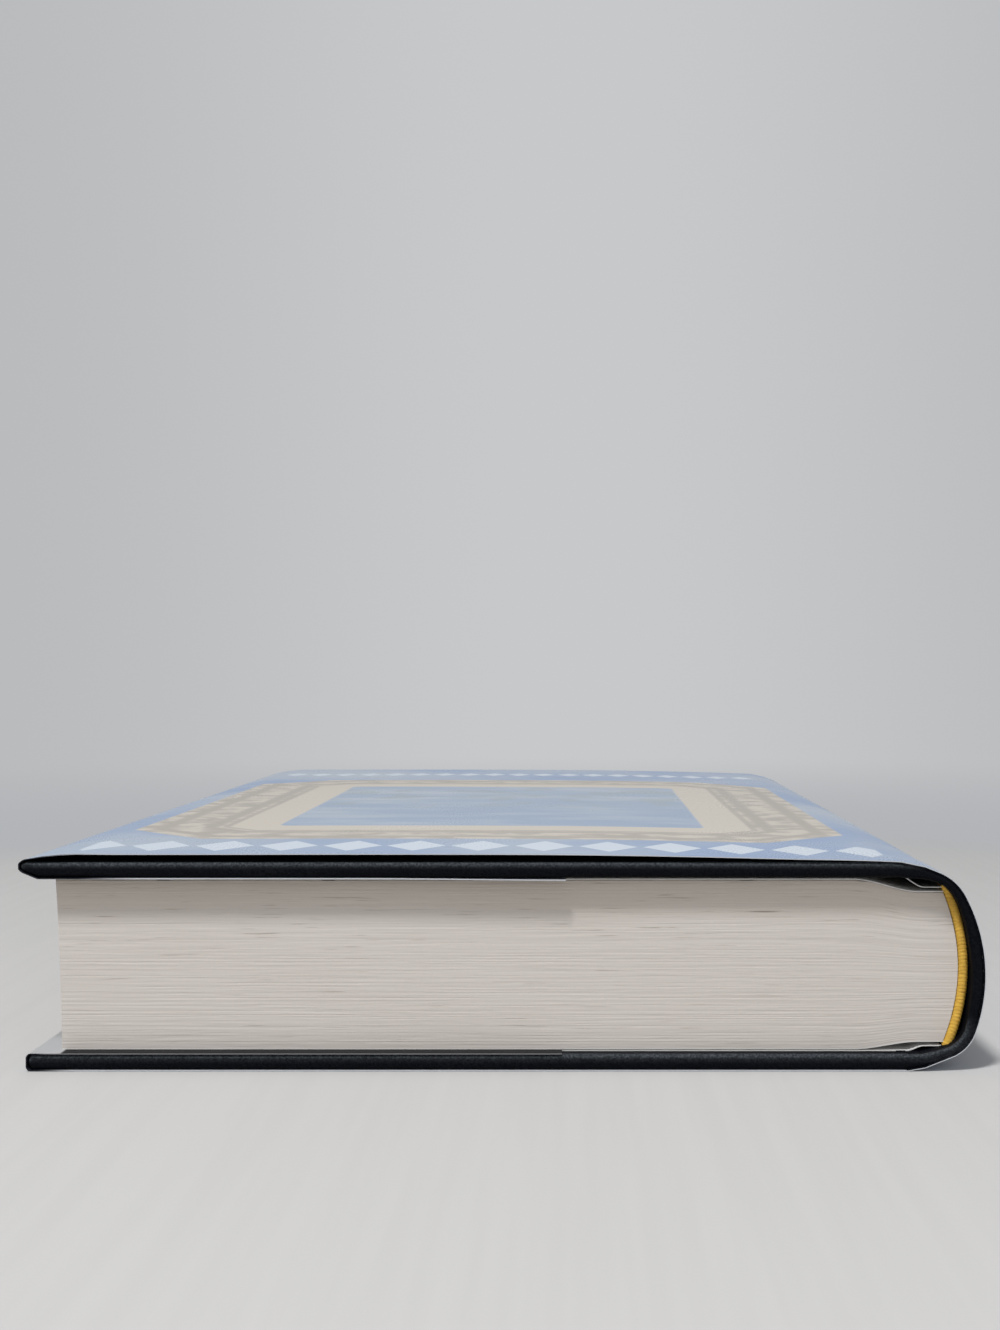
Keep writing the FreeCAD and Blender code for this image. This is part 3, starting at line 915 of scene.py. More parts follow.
PAPER_WHITE = Finish((0.74, 0.735, 0.72), (0.68, 0.67, 0.65), 0.7)
FLAP_WHITE = Finish((0.66, 0.66, 0.65), (0.58, 0.58, 0.58), 0.6, 0.3)
COVER_BLACK = Finish((0.0028, 0.0032, 0.0050), (0.008, 0.009, 0.0115), 0.50, 0.038)
LEAF_EDGE = Finish((0.640, 0.595, 0.558), (0.46, 0.415, 0.365), 0.9, 0.1)
BAND_YELLOW = Finish((0.74, 0.455, 0.075), (0.42, 0.21, 0.03), 0.75, 0.2)
GREY_BOARD = Finish((0.42, 0.38, 0.33), (0.34, 0.31, 0.27), 0.85, 0.2)
GAUZE_PALE = Finish((0.72, 0.68, 0.58), (0.36, 0.31, 0.24), 0.8, 0.2)
KRAFT_BROWN = Finish((0.38, 0.24, 0.13), (0.31, 0.19, 0.10), 0.75, 0.2)
SPINE_CARD = Finish((0.36, 0.33, 0.29), (0.30, 0.27, 0.24), 0.85, 0.2)

BLUE = (0.195, 0.290, 0.475)
BLUE_DEEP = (0.235, 0.320, 0.450)
BLUE_PALE = (0.36, 0.42, 0.50)
CREAM = (0.530, 0.480, 0.405)
GOLD = (0.350, 0.315, 0.270)
WHITE_INK = (0.54, 0.61, 0.69)
SLATE = (0.26, 0.31, 0.33)
FLAP_INK = (0.014, 0.0135, 0.015)
SPILL_GREY = (0.40, 0.405, 0.41)
JACKET_PRINT = Finish(BLUE, BLUE_DEEP, 0.27, 0.24)
# painted highlight on the upper roundings of the covers
COVER_HIGHLIGHT = (0.075, 0.085, 0.095)
# painted shade under the front cover's overhang, warmer than the lit leaves
LEAF_OVERHANG_SHADE = (0.56, 0.49, 0.415)
# painted shade in the gaps between groups of leaves
LEAF_GAP_SHADE = (0.20, 0.17, 0.14)
EDGE_PALE = (0.50, 0.52, 0.55)
EDGE_GREY = (0.20, 0.20, 0.21)
# painted shade on the jacket's cut edge at its folds
FOLD_SHADE = (0.012, 0.014, 0.020)

# Layout of the print in metres: running length from the front hinge line, and place in Y
FRONT_MIDDLE_U = -0.0772
FRAME_MIDDLE_V = -0.011
FRAME_LONGER = 0.0135              # its half length less its half width
FRAME_OUTSIDE = 0.0700             # half widths of the frame, its inner moulding and its panel
MOULDING_OUTSIDE = 0.0530
PANEL_OUTSIDE = 0.0430
CORNER_CUT = 0.0265
ROW_V = -0.1070
FOOT_V = 0.0960
PRINT_START_U = -0.1474            # the rows of lozenges run from here
PRINT_END_U = -0.0055              # to here
FRONT_SPILL_U = -0.1570            # beyond these the blue of the panels fades to grey
BACK_SPILL_U = 0.1999
FRONT_FLAP_U = -0.1640             # and beyond these the flaps are dark
BACK_FLAP_U = 0.2069
SPINE_MIDDLE_U = 0.0222
REAR_MIDDLE_U = 0.1215


class Finishes:
    """All materials of the book, made once."""

    def __init__(self) -> None:
        """Builds the shared groups and every material."""
        self.fibre = fibre_group()
        self.grain = grain_group()
        self.paper = self._paper("endpaper_white", PAPER_WHITE)
        self.cover = self._cover()
        self.leaves = self._leaves()
        self.jacket = self._jacket()
        self.edge = self._cut_edge()
        self.band = self._band()
        self.board = self._paper("board_grey", GREY_BOARD)
        self.gauze = self._gauze()
        self.kraft = self._paper("lining_kraft", KRAFT_BROWN)
        self.card = self._paper("spine_card", SPINE_CARD)

    @staticmethod
    def _start(name: str, finish: Finish) -> tuple[bpy.types.Material, Palette, bpy.types.Node]:
        """Starts a material.

        Args:
            name: its name.
            finish: gloss of its shader.

        Returns:
            The material, the palette for its tree and its shader.
        """
        material = bpy.data.materials.new(name)
        material.use_nodes = True
        material.diffuse_color = (*finish.base, 1.0)
        tree = material.node_tree
        shader = tree.nodes["Principled BSDF"]
        shader.inputs["Roughness"].default_value = finish.rough
        shader.inputs["Specular IOR Level"].default_value = finish.specular
        return material, Palette(tree), shader

    def _paper(self, name: str, finish: Finish) -> bpy.types.Material:
        """Plain paper or card.

        Args:
            name: the material's name.
            finish: its colours.

        Returns:
            The material.
        """
        material, palette, shader = self._start(name, finish)
        fibre = palette.group(self.fibre, Vector=palette.place())
        tone = palette.wire(fibre, "Tone")
        palette.feed(shader.inputs["Base Color"],
                     palette.mix(tone.ease(0.35, 0.7), finish.base, finish.second))
        palette.feed(shader.inputs["Normal"], palette.wire(fibre, "Normal"))
        return material

    def _cover(self) -> bpy.types.Material:
        """Black covering paper with a pressed grain, rubbed a little in places, with a painted
        highlight on the upper roundings near head and tail.

        Returns:
            The material.
        """
        material, palette, shader = self._start("cover_black", COVER_BLACK)
        place = palette.place()
        grain = palette.group(self.grain, Vector=place)
        level = palette.wire(grain, "Grain")
        rub = palette.noise(place, scale=55.0, detail=4.0, rough=0.6).ease(0.45, 0.75)
        _, y, z = palette.split(place)
        # A speckled painted highlight just inside head and tail, on the upper roundings of both covers
        to_end = y.abs()
        highlight_band = to_end.above(0.1198, 0.0003) * to_end.below(0.12055, 0.00022)
        back_cover = z.above(0.00155, 0.00035) * z.below(0.0080, 0.0020)
        upper = z.above(0.0348, 0.0003).max(back_cover)
        speck = palette.noise(place, scale=2600.0, detail=3.0, rough=0.7).ease(0.35, 0.7)
        plain = palette.mix(level.ease(0.3, 0.9) * (rub * 0.4 + 0.3),
                            COVER_BLACK.base, COVER_BLACK.second)
        palette.feed(shader.inputs["Base Color"],
                     palette.mix(highlight_band * upper * (speck * 0.75 + 0.25) * 0.9, plain, COVER_HIGHLIGHT))
        palette.feed(shader.inputs["Roughness"], rub * 0.12 + COVER_BLACK.rough)
        palette.feed(shader.inputs["Normal"], palette.wire(grain, "Normal"))
        return material

    def _leaves(self) -> bpy.types.Material:
        """Cut edges of the leaves: fine lines along the sheet, with painted shade in the gaps between
        groups of leaves and a warmer painted shade under the front cover's overhang.

        Returns:
            The material.
        """
        material, palette, shader = self._start("leaf_edges", LEAF_EDGE)
        uv = palette.uv()
        fine = palette.streaks(uv, (30.0, 7000.0, 1.0), detail=3.0, rough=0.6)
        gaps = palette.streaks(uv, (70.0, 3600.0, 1.0), detail=2.0, rough=0.6)
        broken = palette.streaks(uv, (60.0, 700.0, 1.0), detail=3.0, rough=0.7)
        cloud = palette.streaks(uv, (25.0, 60.0, 1.0), detail=2.0)
        _, _, level = palette.split(palette.place())
        upper = level.ease(0.018, 0.0275)
        # Dark streaks in the gaps between groups of leaves, stronger towards the top: painted shade
        streak = gaps.ease(0.60, 0.70) * broken.ease(0.46, 0.60) * (upper * 0.55 + 0.45)
        tone = fine.ease(0.3, 0.75) * 0.24 + cloud.ease(0.3, 0.7) * 0.08 + streak * 0.6
        colour = palette.mix(tone.min(1.0), LEAF_EDGE.base, LEAF_EDGE.second)
        # A warmer, darker tone over the upper part of the cut faces: painted shade of the front
        # cover's overhang
        colour = palette.mix(level.ease(0.024, 0.031) * 0.6, colour, LEAF_OVERHANG_SHADE)
        palette.feed(shader.inputs["Base Color"], palette.mix(streak * 0.6, colour, LEAF_GAP_SHADE))
        height = fine * 0.6 + gaps * 0.4 - streak * 0.5
        palette.feed(shader.inputs["Normal"],
                     palette.bump(height, strength=0.5, distance=0.00007))
        return material

    def _band(self) -> bpy.types.Material:
        """Yellow woven headband with turns of thread across the bead.

        Returns:
            The material.
        """
        material, palette, shader = self._start("headband_yellow", BAND_YELLOW)
        place = palette.place()
        weave = palette.streaks(place, (500.0, 500.0, 4200.0), detail=3.0)
        dirt = palette.noise(place, scale=700.0, detail=3.0)
        palette.feed(shader.inputs["Base Color"],
                     palette.mix(weave.ease(0.3, 0.75) * 0.55 + dirt.ease(0.5, 0.8) * 0.4,
                                 BAND_YELLOW.base, BAND_YELLOW.second))
        palette.feed(shader.inputs["Normal"],
                     palette.bump(weave, strength=0.7, distance=0.0001))
        return material

    def _gauze(self) -> bpy.types.Material:
        """Open starched gauze: two sets of threads with darker gaps.

        Returns:
            The material.
        """
        material, palette, shader = self._start("gauze_pale", GAUZE_PALE)
        _, y, z = palette.split(palette.place())
        pitch = 0.0011
        threads = y.repeat(pitch).abs().max(z.repeat(pitch).abs())
        palette.feed(shader.inputs["Base Color"],
                     palette.mix(threads.ease(0.0003, 0.0005), GAUZE_PALE.second, GAUZE_PALE.base))
        palette.feed(shader.inputs["Normal"],
                     palette.bump(threads.ease(0.0002, 0.00055), strength=0.6, distance=0.0001))
        return material

    def _jacket(self) -> bpy.types.Material:
        """The printed side of the jacket, laid out along its running length.

        Returns:
            The material.
        """
        material, palette, shader = self._start("jacket_print", JACKET_PRINT)
        uv = palette.uv()
        u, v, _ = palette.split(uv)
        across, tall = (u - FRONT_MIDDLE_U).abs(), (v - FRAME_MIDDLE_V).abs()
        octagon = across.max(tall - FRAME_LONGER).max((across + tall) * 0.707 - CORNER_CUT)
        cloud = palette.noise(uv, scale=18.0, detail=3.0).ease(0.3, 0.7)
        colour = palette.mix(octagon.below(PANEL_OUTSIDE, 0.0003),
                             palette.mix(cloud, BLUE, BLUE_PALE), self._panel(palette, uv, v))
        frame = octagon.below(FRAME_OUTSIDE, 0.0003) * octagon.above(PANEL_OUTSIDE + 0.0003, 0.0003)
        colour = palette.mix(frame, colour, self._frame(palette, uv, octagon))
        row = self._lozenges(u, v, pitch=0.0115, middle=ROW_V, half=0.0085)
        foot = self._lozenges(u, v, pitch=0.0075, middle=FOOT_V, half=0.0055)
        on_front = u.above(PRINT_START_U, 0.0001) * u.below(PRINT_END_U, 0.0001)
        colour = palette.mix(row.max(foot) * on_front, colour, WHITE_INK)
        colour = palette.mix(self._rear_print(u, v), colour, CREAM)
        spill = u.below(FRONT_SPILL_U, 0.0004).max(u.above(BACK_SPILL_U, 0.0003))
        flap = u.below(FRONT_FLAP_U, 0.0004).max(u.above(BACK_FLAP_U, 0.0003))
        colour = palette.mix(flap, palette.mix(spill, colour, SPILL_GREY), FLAP_INK)
        palette.feed(shader.inputs["Base Color"], colour)
        tooth = palette.group(self.fibre, Vector=palette.place(), Depth=0.000004)
        palette.feed(shader.inputs["Normal"], palette.wire(tooth, "Normal"))
        tone = palette.wire(tooth, "Tone")
        palette.feed(shader.inputs["Roughness"], tone * 0.08 + flap * 0.6 + 0.24)
        return material

    @staticmethod
    def _panel(palette: Palette, uv: Wire, v: Wire) -> Wire:
        """Colour inside the frame: soft waves of blue with greyer clumps, both paler and greyer
        towards the tail as a painted sheen of the far, glancing part.

        Args:
            palette: the tree to build in.
            uv: running length and place in Y.
            v: place in Y.

        Returns:
            The colour.
        """
        wave = palette.streaks(uv, (22.0, 70.0, 1.0), detail=4.0, rough=0.6).ease(0.42, 0.66)
        # Paler towards the tail, and the grey clumps only there: painted sheen
        blue = palette.mix(wave * 0.8 + v.ease(-0.05, 0.03) * 0.2, BLUE_DEEP, BLUE_PALE)
        clumps = palette.noise(uv, scale=60.0, detail=3.0, rough=0.6).ease(0.50, 0.60)
        return palette.mix(clumps * v.ease(-0.035, 0.0) * 0.55, blue, SLATE)

    @staticmethod
    def _frame(palette: Palette, uv: Wire, octagon: Wire) -> Wire:
        """Colour of the frame: carved outside, a groove, and a smooth moulding inside.

        Args:
            palette: the tree to build in.
            uv: running length and place in Y.
            octagon: distance from the frame's middle, alike on all its eight sides.

        Returns:
            The colour.
        """
        beads = (octagon - 0.0025).repeat(0.0090).abs().ease(0.0006, 0.0022)
        carving = palette.streaks(uv, (150.0, 190.0, 1.0), detail=4.0).ease(0.38, 0.60)
        moulding = octagon.below(MOULDING_OUTSIDE, 0.0004)
        carved = palette.mix((beads * carving).max(moulding), GOLD, CREAM)
        groove = (octagon - (MOULDING_OUTSIDE + 0.0005)).abs().below(0.0007, 0.0003)
        return palette.mix(groove * 0.8, carved, GOLD)

    def _rear_print(self, u: Wire, v: Wire) -> Wire:
        """Ornament of the spine and of the back panel: bands, lozenges and a thin outline.

        Args:
            u: running length.
            v: place in Y.

        Returns:
            1 on the ornament.
        """
        soft = 0.0002
        tall = v.abs()
        bands = (tall - 0.1010).abs().below(0.0012, soft)
        for place, half in ((0.0975, 0.0004), (0.0560, 0.0006)):
            bands = bands.max((tall - place).abs().below(half, soft))
        lozenge = (u - SPINE_MIDDLE_U).abs() + v.repeat(0.0280).abs()
        chain = lozenge.below(0.0070, 0.0003) - lozenge.below(0.0035, 0.0003)
        spine = bands.max(chain * tall.below(0.0900, soft))
        on_spine = u.above(0.0022, soft) * u.below(0.0424, soft)
        panel = (u - REAR_MIDDLE_U).abs().max(tall - 0.0420)
        outline = panel.below(0.0605, soft) * panel.above(0.0590, soft)
        star = (u - REAR_MIDDLE_U).abs() + tall
        mark = star.below(0.0200, 0.0003) * star.above(0.01725, 0.00025)
        rear = outline.max(mark).max(star.below(0.0090, 0.0003))
        return (spine * on_spine).max(rear * u.above(0.0502, soft))

    def _cut_edge(self) -> bpy.types.Material:
        """The jacket's inside and cut edge, with painted shade where it folds round the fore-edges.

        Returns:
            The material.
        """
        material, palette, shader = self._start("jacket_inside", FLAP_WHITE)
        u, _, _ = palette.split(palette.uv())
        # Painted shade on the cut edge where the jacket folds round the fore-edges
        front_fold_shade = u.ease(-0.1790, -0.1680) * u.below(-0.1480, 0.0060)
        back_fold_shade = u.ease(0.1900, 0.1970) * u.below(0.2036, 0.0008)
        plain = palette.mix(u.ease(0.1900, 0.2036), EDGE_PALE, EDGE_GREY)
        palette.feed(shader.inputs["Base Color"],
                     palette.mix(front_fold_shade.max(back_fold_shade), plain, FOLD_SHADE))
        return material

    def _lozenges(self, u: Wire, v: Wire, pitch: float, middle: float, half: float) -> Wire:
        """A row of lozenges across the front panel.

        Args:
            u: running length.
            v: place in Y.
            pitch: distance from one to the next.
            middle: the row's place in Y.
            half: half height of a lozenge.

        Returns:
            1 on a lozenge.
        """
        half_width = pitch * 0.46
        across = (u - FRONT_MIDDLE_U).repeat(pitch).abs() * (half / half_width)
        tall = (v - middle).abs()
        return (across + tall).below(half, 0.0002)


# Sub-assemblies


@dataclass
class Jacket:
    """The paper jacket: three panels that ride and two joints between them."""

    finishes: Finishes
    pieces: dict[str, bpy.types.Object] = field(default_factory=dict)

    def build(self) -> None:
        """Builds the five pieces and ties the three panels to their bodies."""
        length = JACKET_LINE.along
        front_cut = running_at(JACKET_LINE, BEND_COVER_X, True)
        front_spine = running_at(JACKET_LINE, BEND_SPINE_X, True)
        back_spine = running_at(JACKET_LINE, BEND_SPINE_X, False)
        back_cut = running_at(JACKET_LINE, BEND_COVER_X, False)
        parts = (("jacket_front_panel", length[0], front_cut, self._bow),
                 ("jacket_front_joint", front_cut, front_spine, None),
                 ("jacket_spine_panel", front_spine, back_spine, None),
                 ("jacket_back_joint", back_spine, back_cut, None),
                 ("jacket_back_panel", back_cut, length[-1], None))
        for name, low, high, shape in parts:
            piece = Sheet(name, JACKET_LINE.cut(low, high), JACKET, rows=60, shape=shape).make(
                self.finishes.jacket, self.finishes.edge)
            self.pieces[name] = piece
        ride(self.pieces["jacket_front_panel"], Body.FRONT, "jacket_front")
        ride(self.pieces["jacket_spine_panel"], Body.BLOCK, "jacket_spine")
        ride(self.pieces["jacket_back_panel"], Body.BACK, "jacket_back")
        bend_front(self.pieces["jacket_front_joint"])
        bend_back(self.pieces["jacket_back_joint"])

    @staticmethod
    def _bow(place: Vector) -> Vector:
        """Slack of the front panel and of its flap.

        Args:
            place: a point of the flat sheet.

        Returns:
            The point on the slack sheet.
        """
        x, y, z = place / MM
        if z > FRONT_TOP_Z + 0.2:
            # Nought at the fore-edge and at the joint
            reach = smooth((x + 79) / 12) * smooth((66 - x) / 20)
            swell = noise.noise(Vector((x / 60, y / 75, 3.0))) * 0.5 + 0.5
            inwards = smooth((HALF_CASE - abs(y)) / 60)
            z -= reach * (PANEL_SWELL * swell + PANEL_SLACK * inwards)
        elif z < FRONT_TURN_Z - 0.05:
            z -= FLAP_SAG * smooth((x + 25) / 36)
        return Vector((x, y, z + nose(x, z))) * MM


@dataclass
class Cases:
    """The two covered boards and the covering paper at their joints."""

    finishes: Finishes

    def build(self) -> None:
        """Builds both covers and both joints."""
        front = self._slab("front_cover_case", FRONT_LEFT_X, FRONT_EDGE_X, FRONT_TURN_Z, 1)
        ride(front, Body.FRONT, "front_cover_cloth")
        back = self._slab("back_cover_case", BACK_LEFT_X, BACK_EDGE_X, BACK_TURN_Z, -1)
        ride(back, Body.BACK, "back_cover_cloth")
        boards = (self._board("front_cover_board", FRONT_LEFT_X, FRONT_EDGE_X, FRONT_TURN_Z, 1),
                  self._board("back_cover_board", BACK_LEFT_X, BACK_EDGE_X, BACK_TURN_Z, -1))
        for board, body, node in zip(boards, (Body.FRONT, Body.BACK), ("front_board", "back_board")):
            ride(board, body, node)
        overlap = 0.3
        front_joint = cloth_strip("front_cloth_joint",
                                  running_at(JACKET_LINE, FRONT_EDGE_X - overlap, True),
                                  running_at(JACKET_LINE, BEND_SPINE_X, True), self.finishes.cover)
        bend_front(front_joint)
        back_joint = cloth_strip("back_cloth_joint",
                                 running_at(JACKET_LINE, BEND_SPINE_X, False),
                                 running_at(JACKET_LINE, BACK_EDGE_X - overlap, False),
                                 self.finishes.cover)
        bend_back(back_joint)

    def _slab(self, name: str, left: float, right: float, turn_z: float,
              side: int) -> bpy.types.Object:
        """A covered board, rounded at its edges, its inner face sunk within the turn-ins.

        Args:
            name: the piece's name.
            left: fore-edge of the covered board.
            right: its edge at the joint.
            turn_z: level of the turned-in covering paper.
            side: 1 if the board lies above that level, -1 below.

        Returns:
            The object.
        """
        lap = 0.13
        step = 0.3
        to_leaf = SQUARE - 1.1
        to_bare_board = TURN_IN - 3.2
        levels = sorted((turn_z - side * lap, turn_z + side * BOARD_RISE))
        bm = self._block(left, right, HALF_CASE, levels, COVER_ROUNDING)
        inner = [f for f in bm.faces if f.normal.z * side < -0.999]
        for width, depth in ((to_leaf, 0), (step, lap), (to_bare_board, 0), (step, CLOTH)):
            bmesh.ops.inset_region(bm, faces=inner, thickness=width * MM, depth=-depth * MM)
        if side > 0:
            self._round_nose(bm)
        return link(name, bm, (self.finishes.cover,), 50.0)

    def _board(self, name: str, left: float, right: float, turn_z: float,
               side: int) -> bpy.types.Object:
        """The grey board inside a covered board.

        Args:
            name: the piece's name.
            left: fore-edge of the covered board.
            right: its edge at the joint.
            turn_z: level of the turned-in covering paper.
            side: 1 if the board lies above that level, -1 below.

        Returns:
            The object.
        """
        levels = sorted((turn_z + side * CLOTH, turn_z + side * (BOARD_RISE - CLOTH)))
        bm = self._block(left + CLOTH, right - CLOTH, HALF_CASE - CLOTH, levels,
                         BOARD_ROUNDING)
        if side > 0:
            self._round_nose(bm)
        return link(name, bm, (self.finishes.board,), 50.0)

    @staticmethod
    def _block(left: float, right: float, half: float, levels: Sequence[float],
               radius: float) -> bmesh.types.BMesh:
        """A box whose edges are rounded, all but those at the joint.

        Args:
            left: its fore-edge.
            right: its edge at the joint.
            half: half its length.
            levels: its lower and its upper level.
            radius: radius of the rounding.

        Returns:
            The mesh.
        """
        size = Vector((right - left, 2 * half, levels[1] - levels[0]))
        bm = bmesh.new()
        bmesh.ops.create_cube(bm, size=1.0)
        bmesh.ops.scale(bm, vec=size * MM, verts=bm.verts)
        middle = Vector(((left + right) / 2, 0, sum(levels) / 2)) * MM
        bmesh.ops.translate(bm, vec=middle, verts=bm.verts)
        edges = [e for e in bm.edges
                 if not all(v.co.x > (right - 0.01) * MM for v in e.verts)]
        bmesh.ops.bevel(bm, geom=edges, offset=radius * MM, offset_type="OFFSET", segments=6,
                        profile=0.5, affect="EDGES", material=-1, clamp_overlap=True)
        bm.normal_update()
        return bm

    @staticmethod
    def _round_nose(bm: bmesh.types.BMesh) -> None:
        """Rounds the lower side off towards the fore-edge.

        Args:
            bm: the mesh of a cover or board at the front.
        """
        everything = bm.verts[:] + bm.edges[:] + bm.faces[:]
        bmesh.ops.bisect_plane(bm, geom=everything, plane_co=(NOSE_X * MM, 0, 0),
                               plane_no=(1, 0, 0))
        for vert in bm.verts:
            vert.co.z += nose(vert.co.x / MM, vert.co.z / MM) * MM


@dataclass
class SpineCase:
    """The spine of the case: covering paper turned in at head and tail."""

    finishes: Finishes

    def build(self) -> None:
        """Builds the outer skin and both turned-in ends as one piece."""
        case = cloth_strip("spine_case", running_at(JACKET_LINE, BEND_SPINE_X, True),
                           running_at(JACKET_LINE, BEND_SPINE_X, False), self.finishes.cover)
        ride(case, Body.BLOCK, "spine_cloth")


def cloth_strip(name: str, low: float, high: float,
                finish: bpy.types.Material) -> bpy.types.Object:
    """Covering paper along a stretch of the jacket's line, turned in at head and tail.

    Args:
        name: the piece's name.
        low: running length at which it starts.
        high: running length at which it stops.
        finish: its material.

    Returns:
        The object.
    """
    skin = JACKET_LINE.beside(-JACKET)
    strip = Sheet(name, skin.cut(low, high), CLOTH).make(finish)
    merge_into(strip, [turned_in_end(low, high, side, finish) for side in (-1, 1)])
    return strip


def turned_in_depth(length: float) -> float:
    """How far below the jacket's printed side the turned-in covering paper reaches.

    Args:
        length: running length on the jacket's line.

    Returns:
        The depth in millimetres: a board's at both joints, least at the shoulders.
    """
    at_joint, at_shoulder, more_on_spine = 2.78, 1.75, 0.5
    whole = sum(running_at(JACKET_LINE, BEND_SPINE_X, high) for high in (False, True))
    reach = min(length, whole - length)
    depth = at_joint + (at_shoulder - at_joint) * smooth((reach + 4.1) / 9.5)
    return depth + more_on_spine * smooth((reach - 9.0) / 9.0)


def turned_in_end(low: float, high: float, side: int,
                  finish: bpy.types.Material) -> bpy.types.Object:
    """The covering paper where it is folded back on itself at the head or the tail.

    Args:
        low: running length at which the end starts.
        high: running length at which it stops.
        side: -1 at the head, 1 at the tail.
        finish: its material.

    Returns:
        The object.
    """
    samples = JACKET_LINE.cut(low, high)
    depths = [turned_in_depth(length) for length in samples.along]
    # Extra depth, and distance from the end of the case, where the paper bends over
    bend = ((0.0, 14.0), (0.0, 1.0), (0.1, 0.45), (0.35, 0.12), (0.8, 0.03))
    # Least depth, share of the turned-in depth, extra depth and distance from the end
    profile = [(JACKET + 0.01, 0.0, depth, back) for depth, back in bend]
    profile += [(0.0, 1.0, -depth, back) for depth, back in reversed(bend[1:])]
    profile += [(0.0, 1.0, 0.0, TURN_IN), (0.0, 1.0, -CLOTH, TURN_IN), (0.0, 1.0, -CLOTH, 0.9)]
    bm = bmesh.new()
    columns, rows = len(samples.points) - 1, len(profile) - 1
    made = bmesh.ops.create_grid(bm, x_segments=columns, y_segments=rows, size=0.5)
    lines = [[samples.beside(-(base + share * depth + extra)).points[index]
              for base, share, extra, _ in profile] for index, depth in enumerate(depths)]
    for vert in made["verts"]:
        index = round((vert.co.x + 0.5) * columns)
        row = round((vert.co.y + 0.5) * rows)
        x, z = lines[index][row]
        vert.co = Vector((x, side * (HALF_CASE - profile[row][3]), z)) * MM
    bmesh.ops.recalc_face_normals(bm, faces=bm.faces[:])
    return link("turned_in_end", bm, (finish,), 50.0)


@dataclass
class Endpapers:
    """The two endpaper sheets: pasted half, bending joint and free half."""

    finishes: Finishes

    def build(self) -> None:
        """Builds the six pieces and ties the pasted and free ones to their bodies."""
        self._sheet("front", self._front_line(), Body.FRONT, True)
        self._sheet("back", self._back_line(), Body.BACK, False)

    @staticmethod
    def _front_line() -> SectionLine:
        """The front endpaper from its pasted fore-edge round the joint to its free one.

        Returns:
            Its outer side in the section, with the paper to the right of travel.
        """
        pinched = LEAF_TOP_Z - PINCH_TOP
        outer = pinched + 2 * PAPER_FOLD
        line = SectionLine(FRONT_LEFT_X + SQUARE, FRONT_TURN_Z).to(FRONT_EDGE_X, FRONT_TURN_Z)
        line.pitch = FINE_PITCH
        line.to(FRONT_EDGE_X + JOINT_LEAD, FRONT_TURN_Z).ease_to(HINGE_X + HINGE_LEAD, outer)
        line.to(LEAF_SPINE_X, outer).turn((LEAF_SPINE_X, pinched + PAPER_FOLD), -180)
        line.to(PINCH_END_X, pinched).ease_to(PINCH_START_X, LEAF_TOP_Z)
        line.pitch = COARSE_PITCH
        return line.to(LEAF_TOP_X, LEAF_TOP_Z)

    @staticmethod
    def _back_line() -> SectionLine:
        """The back endpaper from its pasted fore-edge round the joint to its free one.

        Returns:
            Its outer side in the section, with the paper to the left of travel.
        """
        pinched = LEAF_LOW_Z + PINCH_LOW
        outer = pinched - 2 * PAPER_FOLD
        line = SectionLine(BACK_LEFT_X + SQUARE, BACK_TURN_Z).to(BACK_EDGE_X, BACK_TURN_Z)
        line.pitch = FINE_PITCH
        line.to(BACK_EDGE_X + JOINT_LEAD, BACK_TURN_Z).ease_to(HINGE_X + HINGE_LEAD, outer)
        line.to(LEAF_SPINE_X, outer).turn((LEAF_SPINE_X, pinched - PAPER_FOLD), 180)
        line.to(PINCH_END_X, pinched).ease_to(PINCH_START_X, LEAF_LOW_Z)
        line.pitch = COARSE_PITCH
        return line.to(LEAF_LOW_X, LEAF_LOW_Z)

    def _sheet(self, side: str, line: SectionLine, cover: Body, front: bool) -> None:
        """Cuts one endpaper into its three pieces.

        Args:
            side: "front" or "back".
            line: its section.
            cover: the body of its pasted half.
            front: whether it is the front one.
        """
        whole = Stretch.of(line)
        edge = FRONT_EDGE_X if front else BACK_EDGE_X
        left = (FRONT_LEFT_X if front else BACK_LEFT_X) + SQUARE
        cover_cut = edge + JOINT_CUT - left
        fold = max(range(len(whole.points)), key=lambda i: whole.points[i][0])
        fold_cut = whole.along[fold] - PAPER_FOLD * math.pi / 2
        common = dict(thickness=ENDPAPER, half=HALF_LEAF, outside_left=front)
        sink = CLOTH if front else -CLOTH

        def emboss(place: Vector) -> Vector:
            """Sinks the paper on to the bare board inside the turn-ins.

            Args:
                place: a point of the flat leaf.

            Returns:
                The point on the embossed leaf.
            """
            x, y, z = place / MM
            inside = min(x - (left - SQUARE + TURN_IN), edge - JOINT_LAP - x,
                         HALF_CASE - TURN_IN - abs(y))
            return Vector((x, y, z + sink * smooth(inside / EMBOSS_WIDTH + 0.5))) * MM

        pasted = Sheet(f"{side}_pasted_leaf", dense(whole.cut(0, cover_cut), left, edge),
                       rows=120, shape=emboss, **common).make(self.finishes.paper)
        ride(pasted, cover, f"{side}_pastedown")
        joint = Sheet(f"{side}_paper_joint", whole.cut(cover_cut, fold_cut), **common)
        bent = joint.make(self.finishes.paper)
        if front:
            bend_front(bent)
        else:
            bend_back(bent)
        free = Sheet(f"{side}_free_leaf", whole.cut(fold_cut, whole.along[-1]),
                     **common).make(self.finishes.paper)
        ride(free, Body.BLOCK, f"{side}_flyleaf")


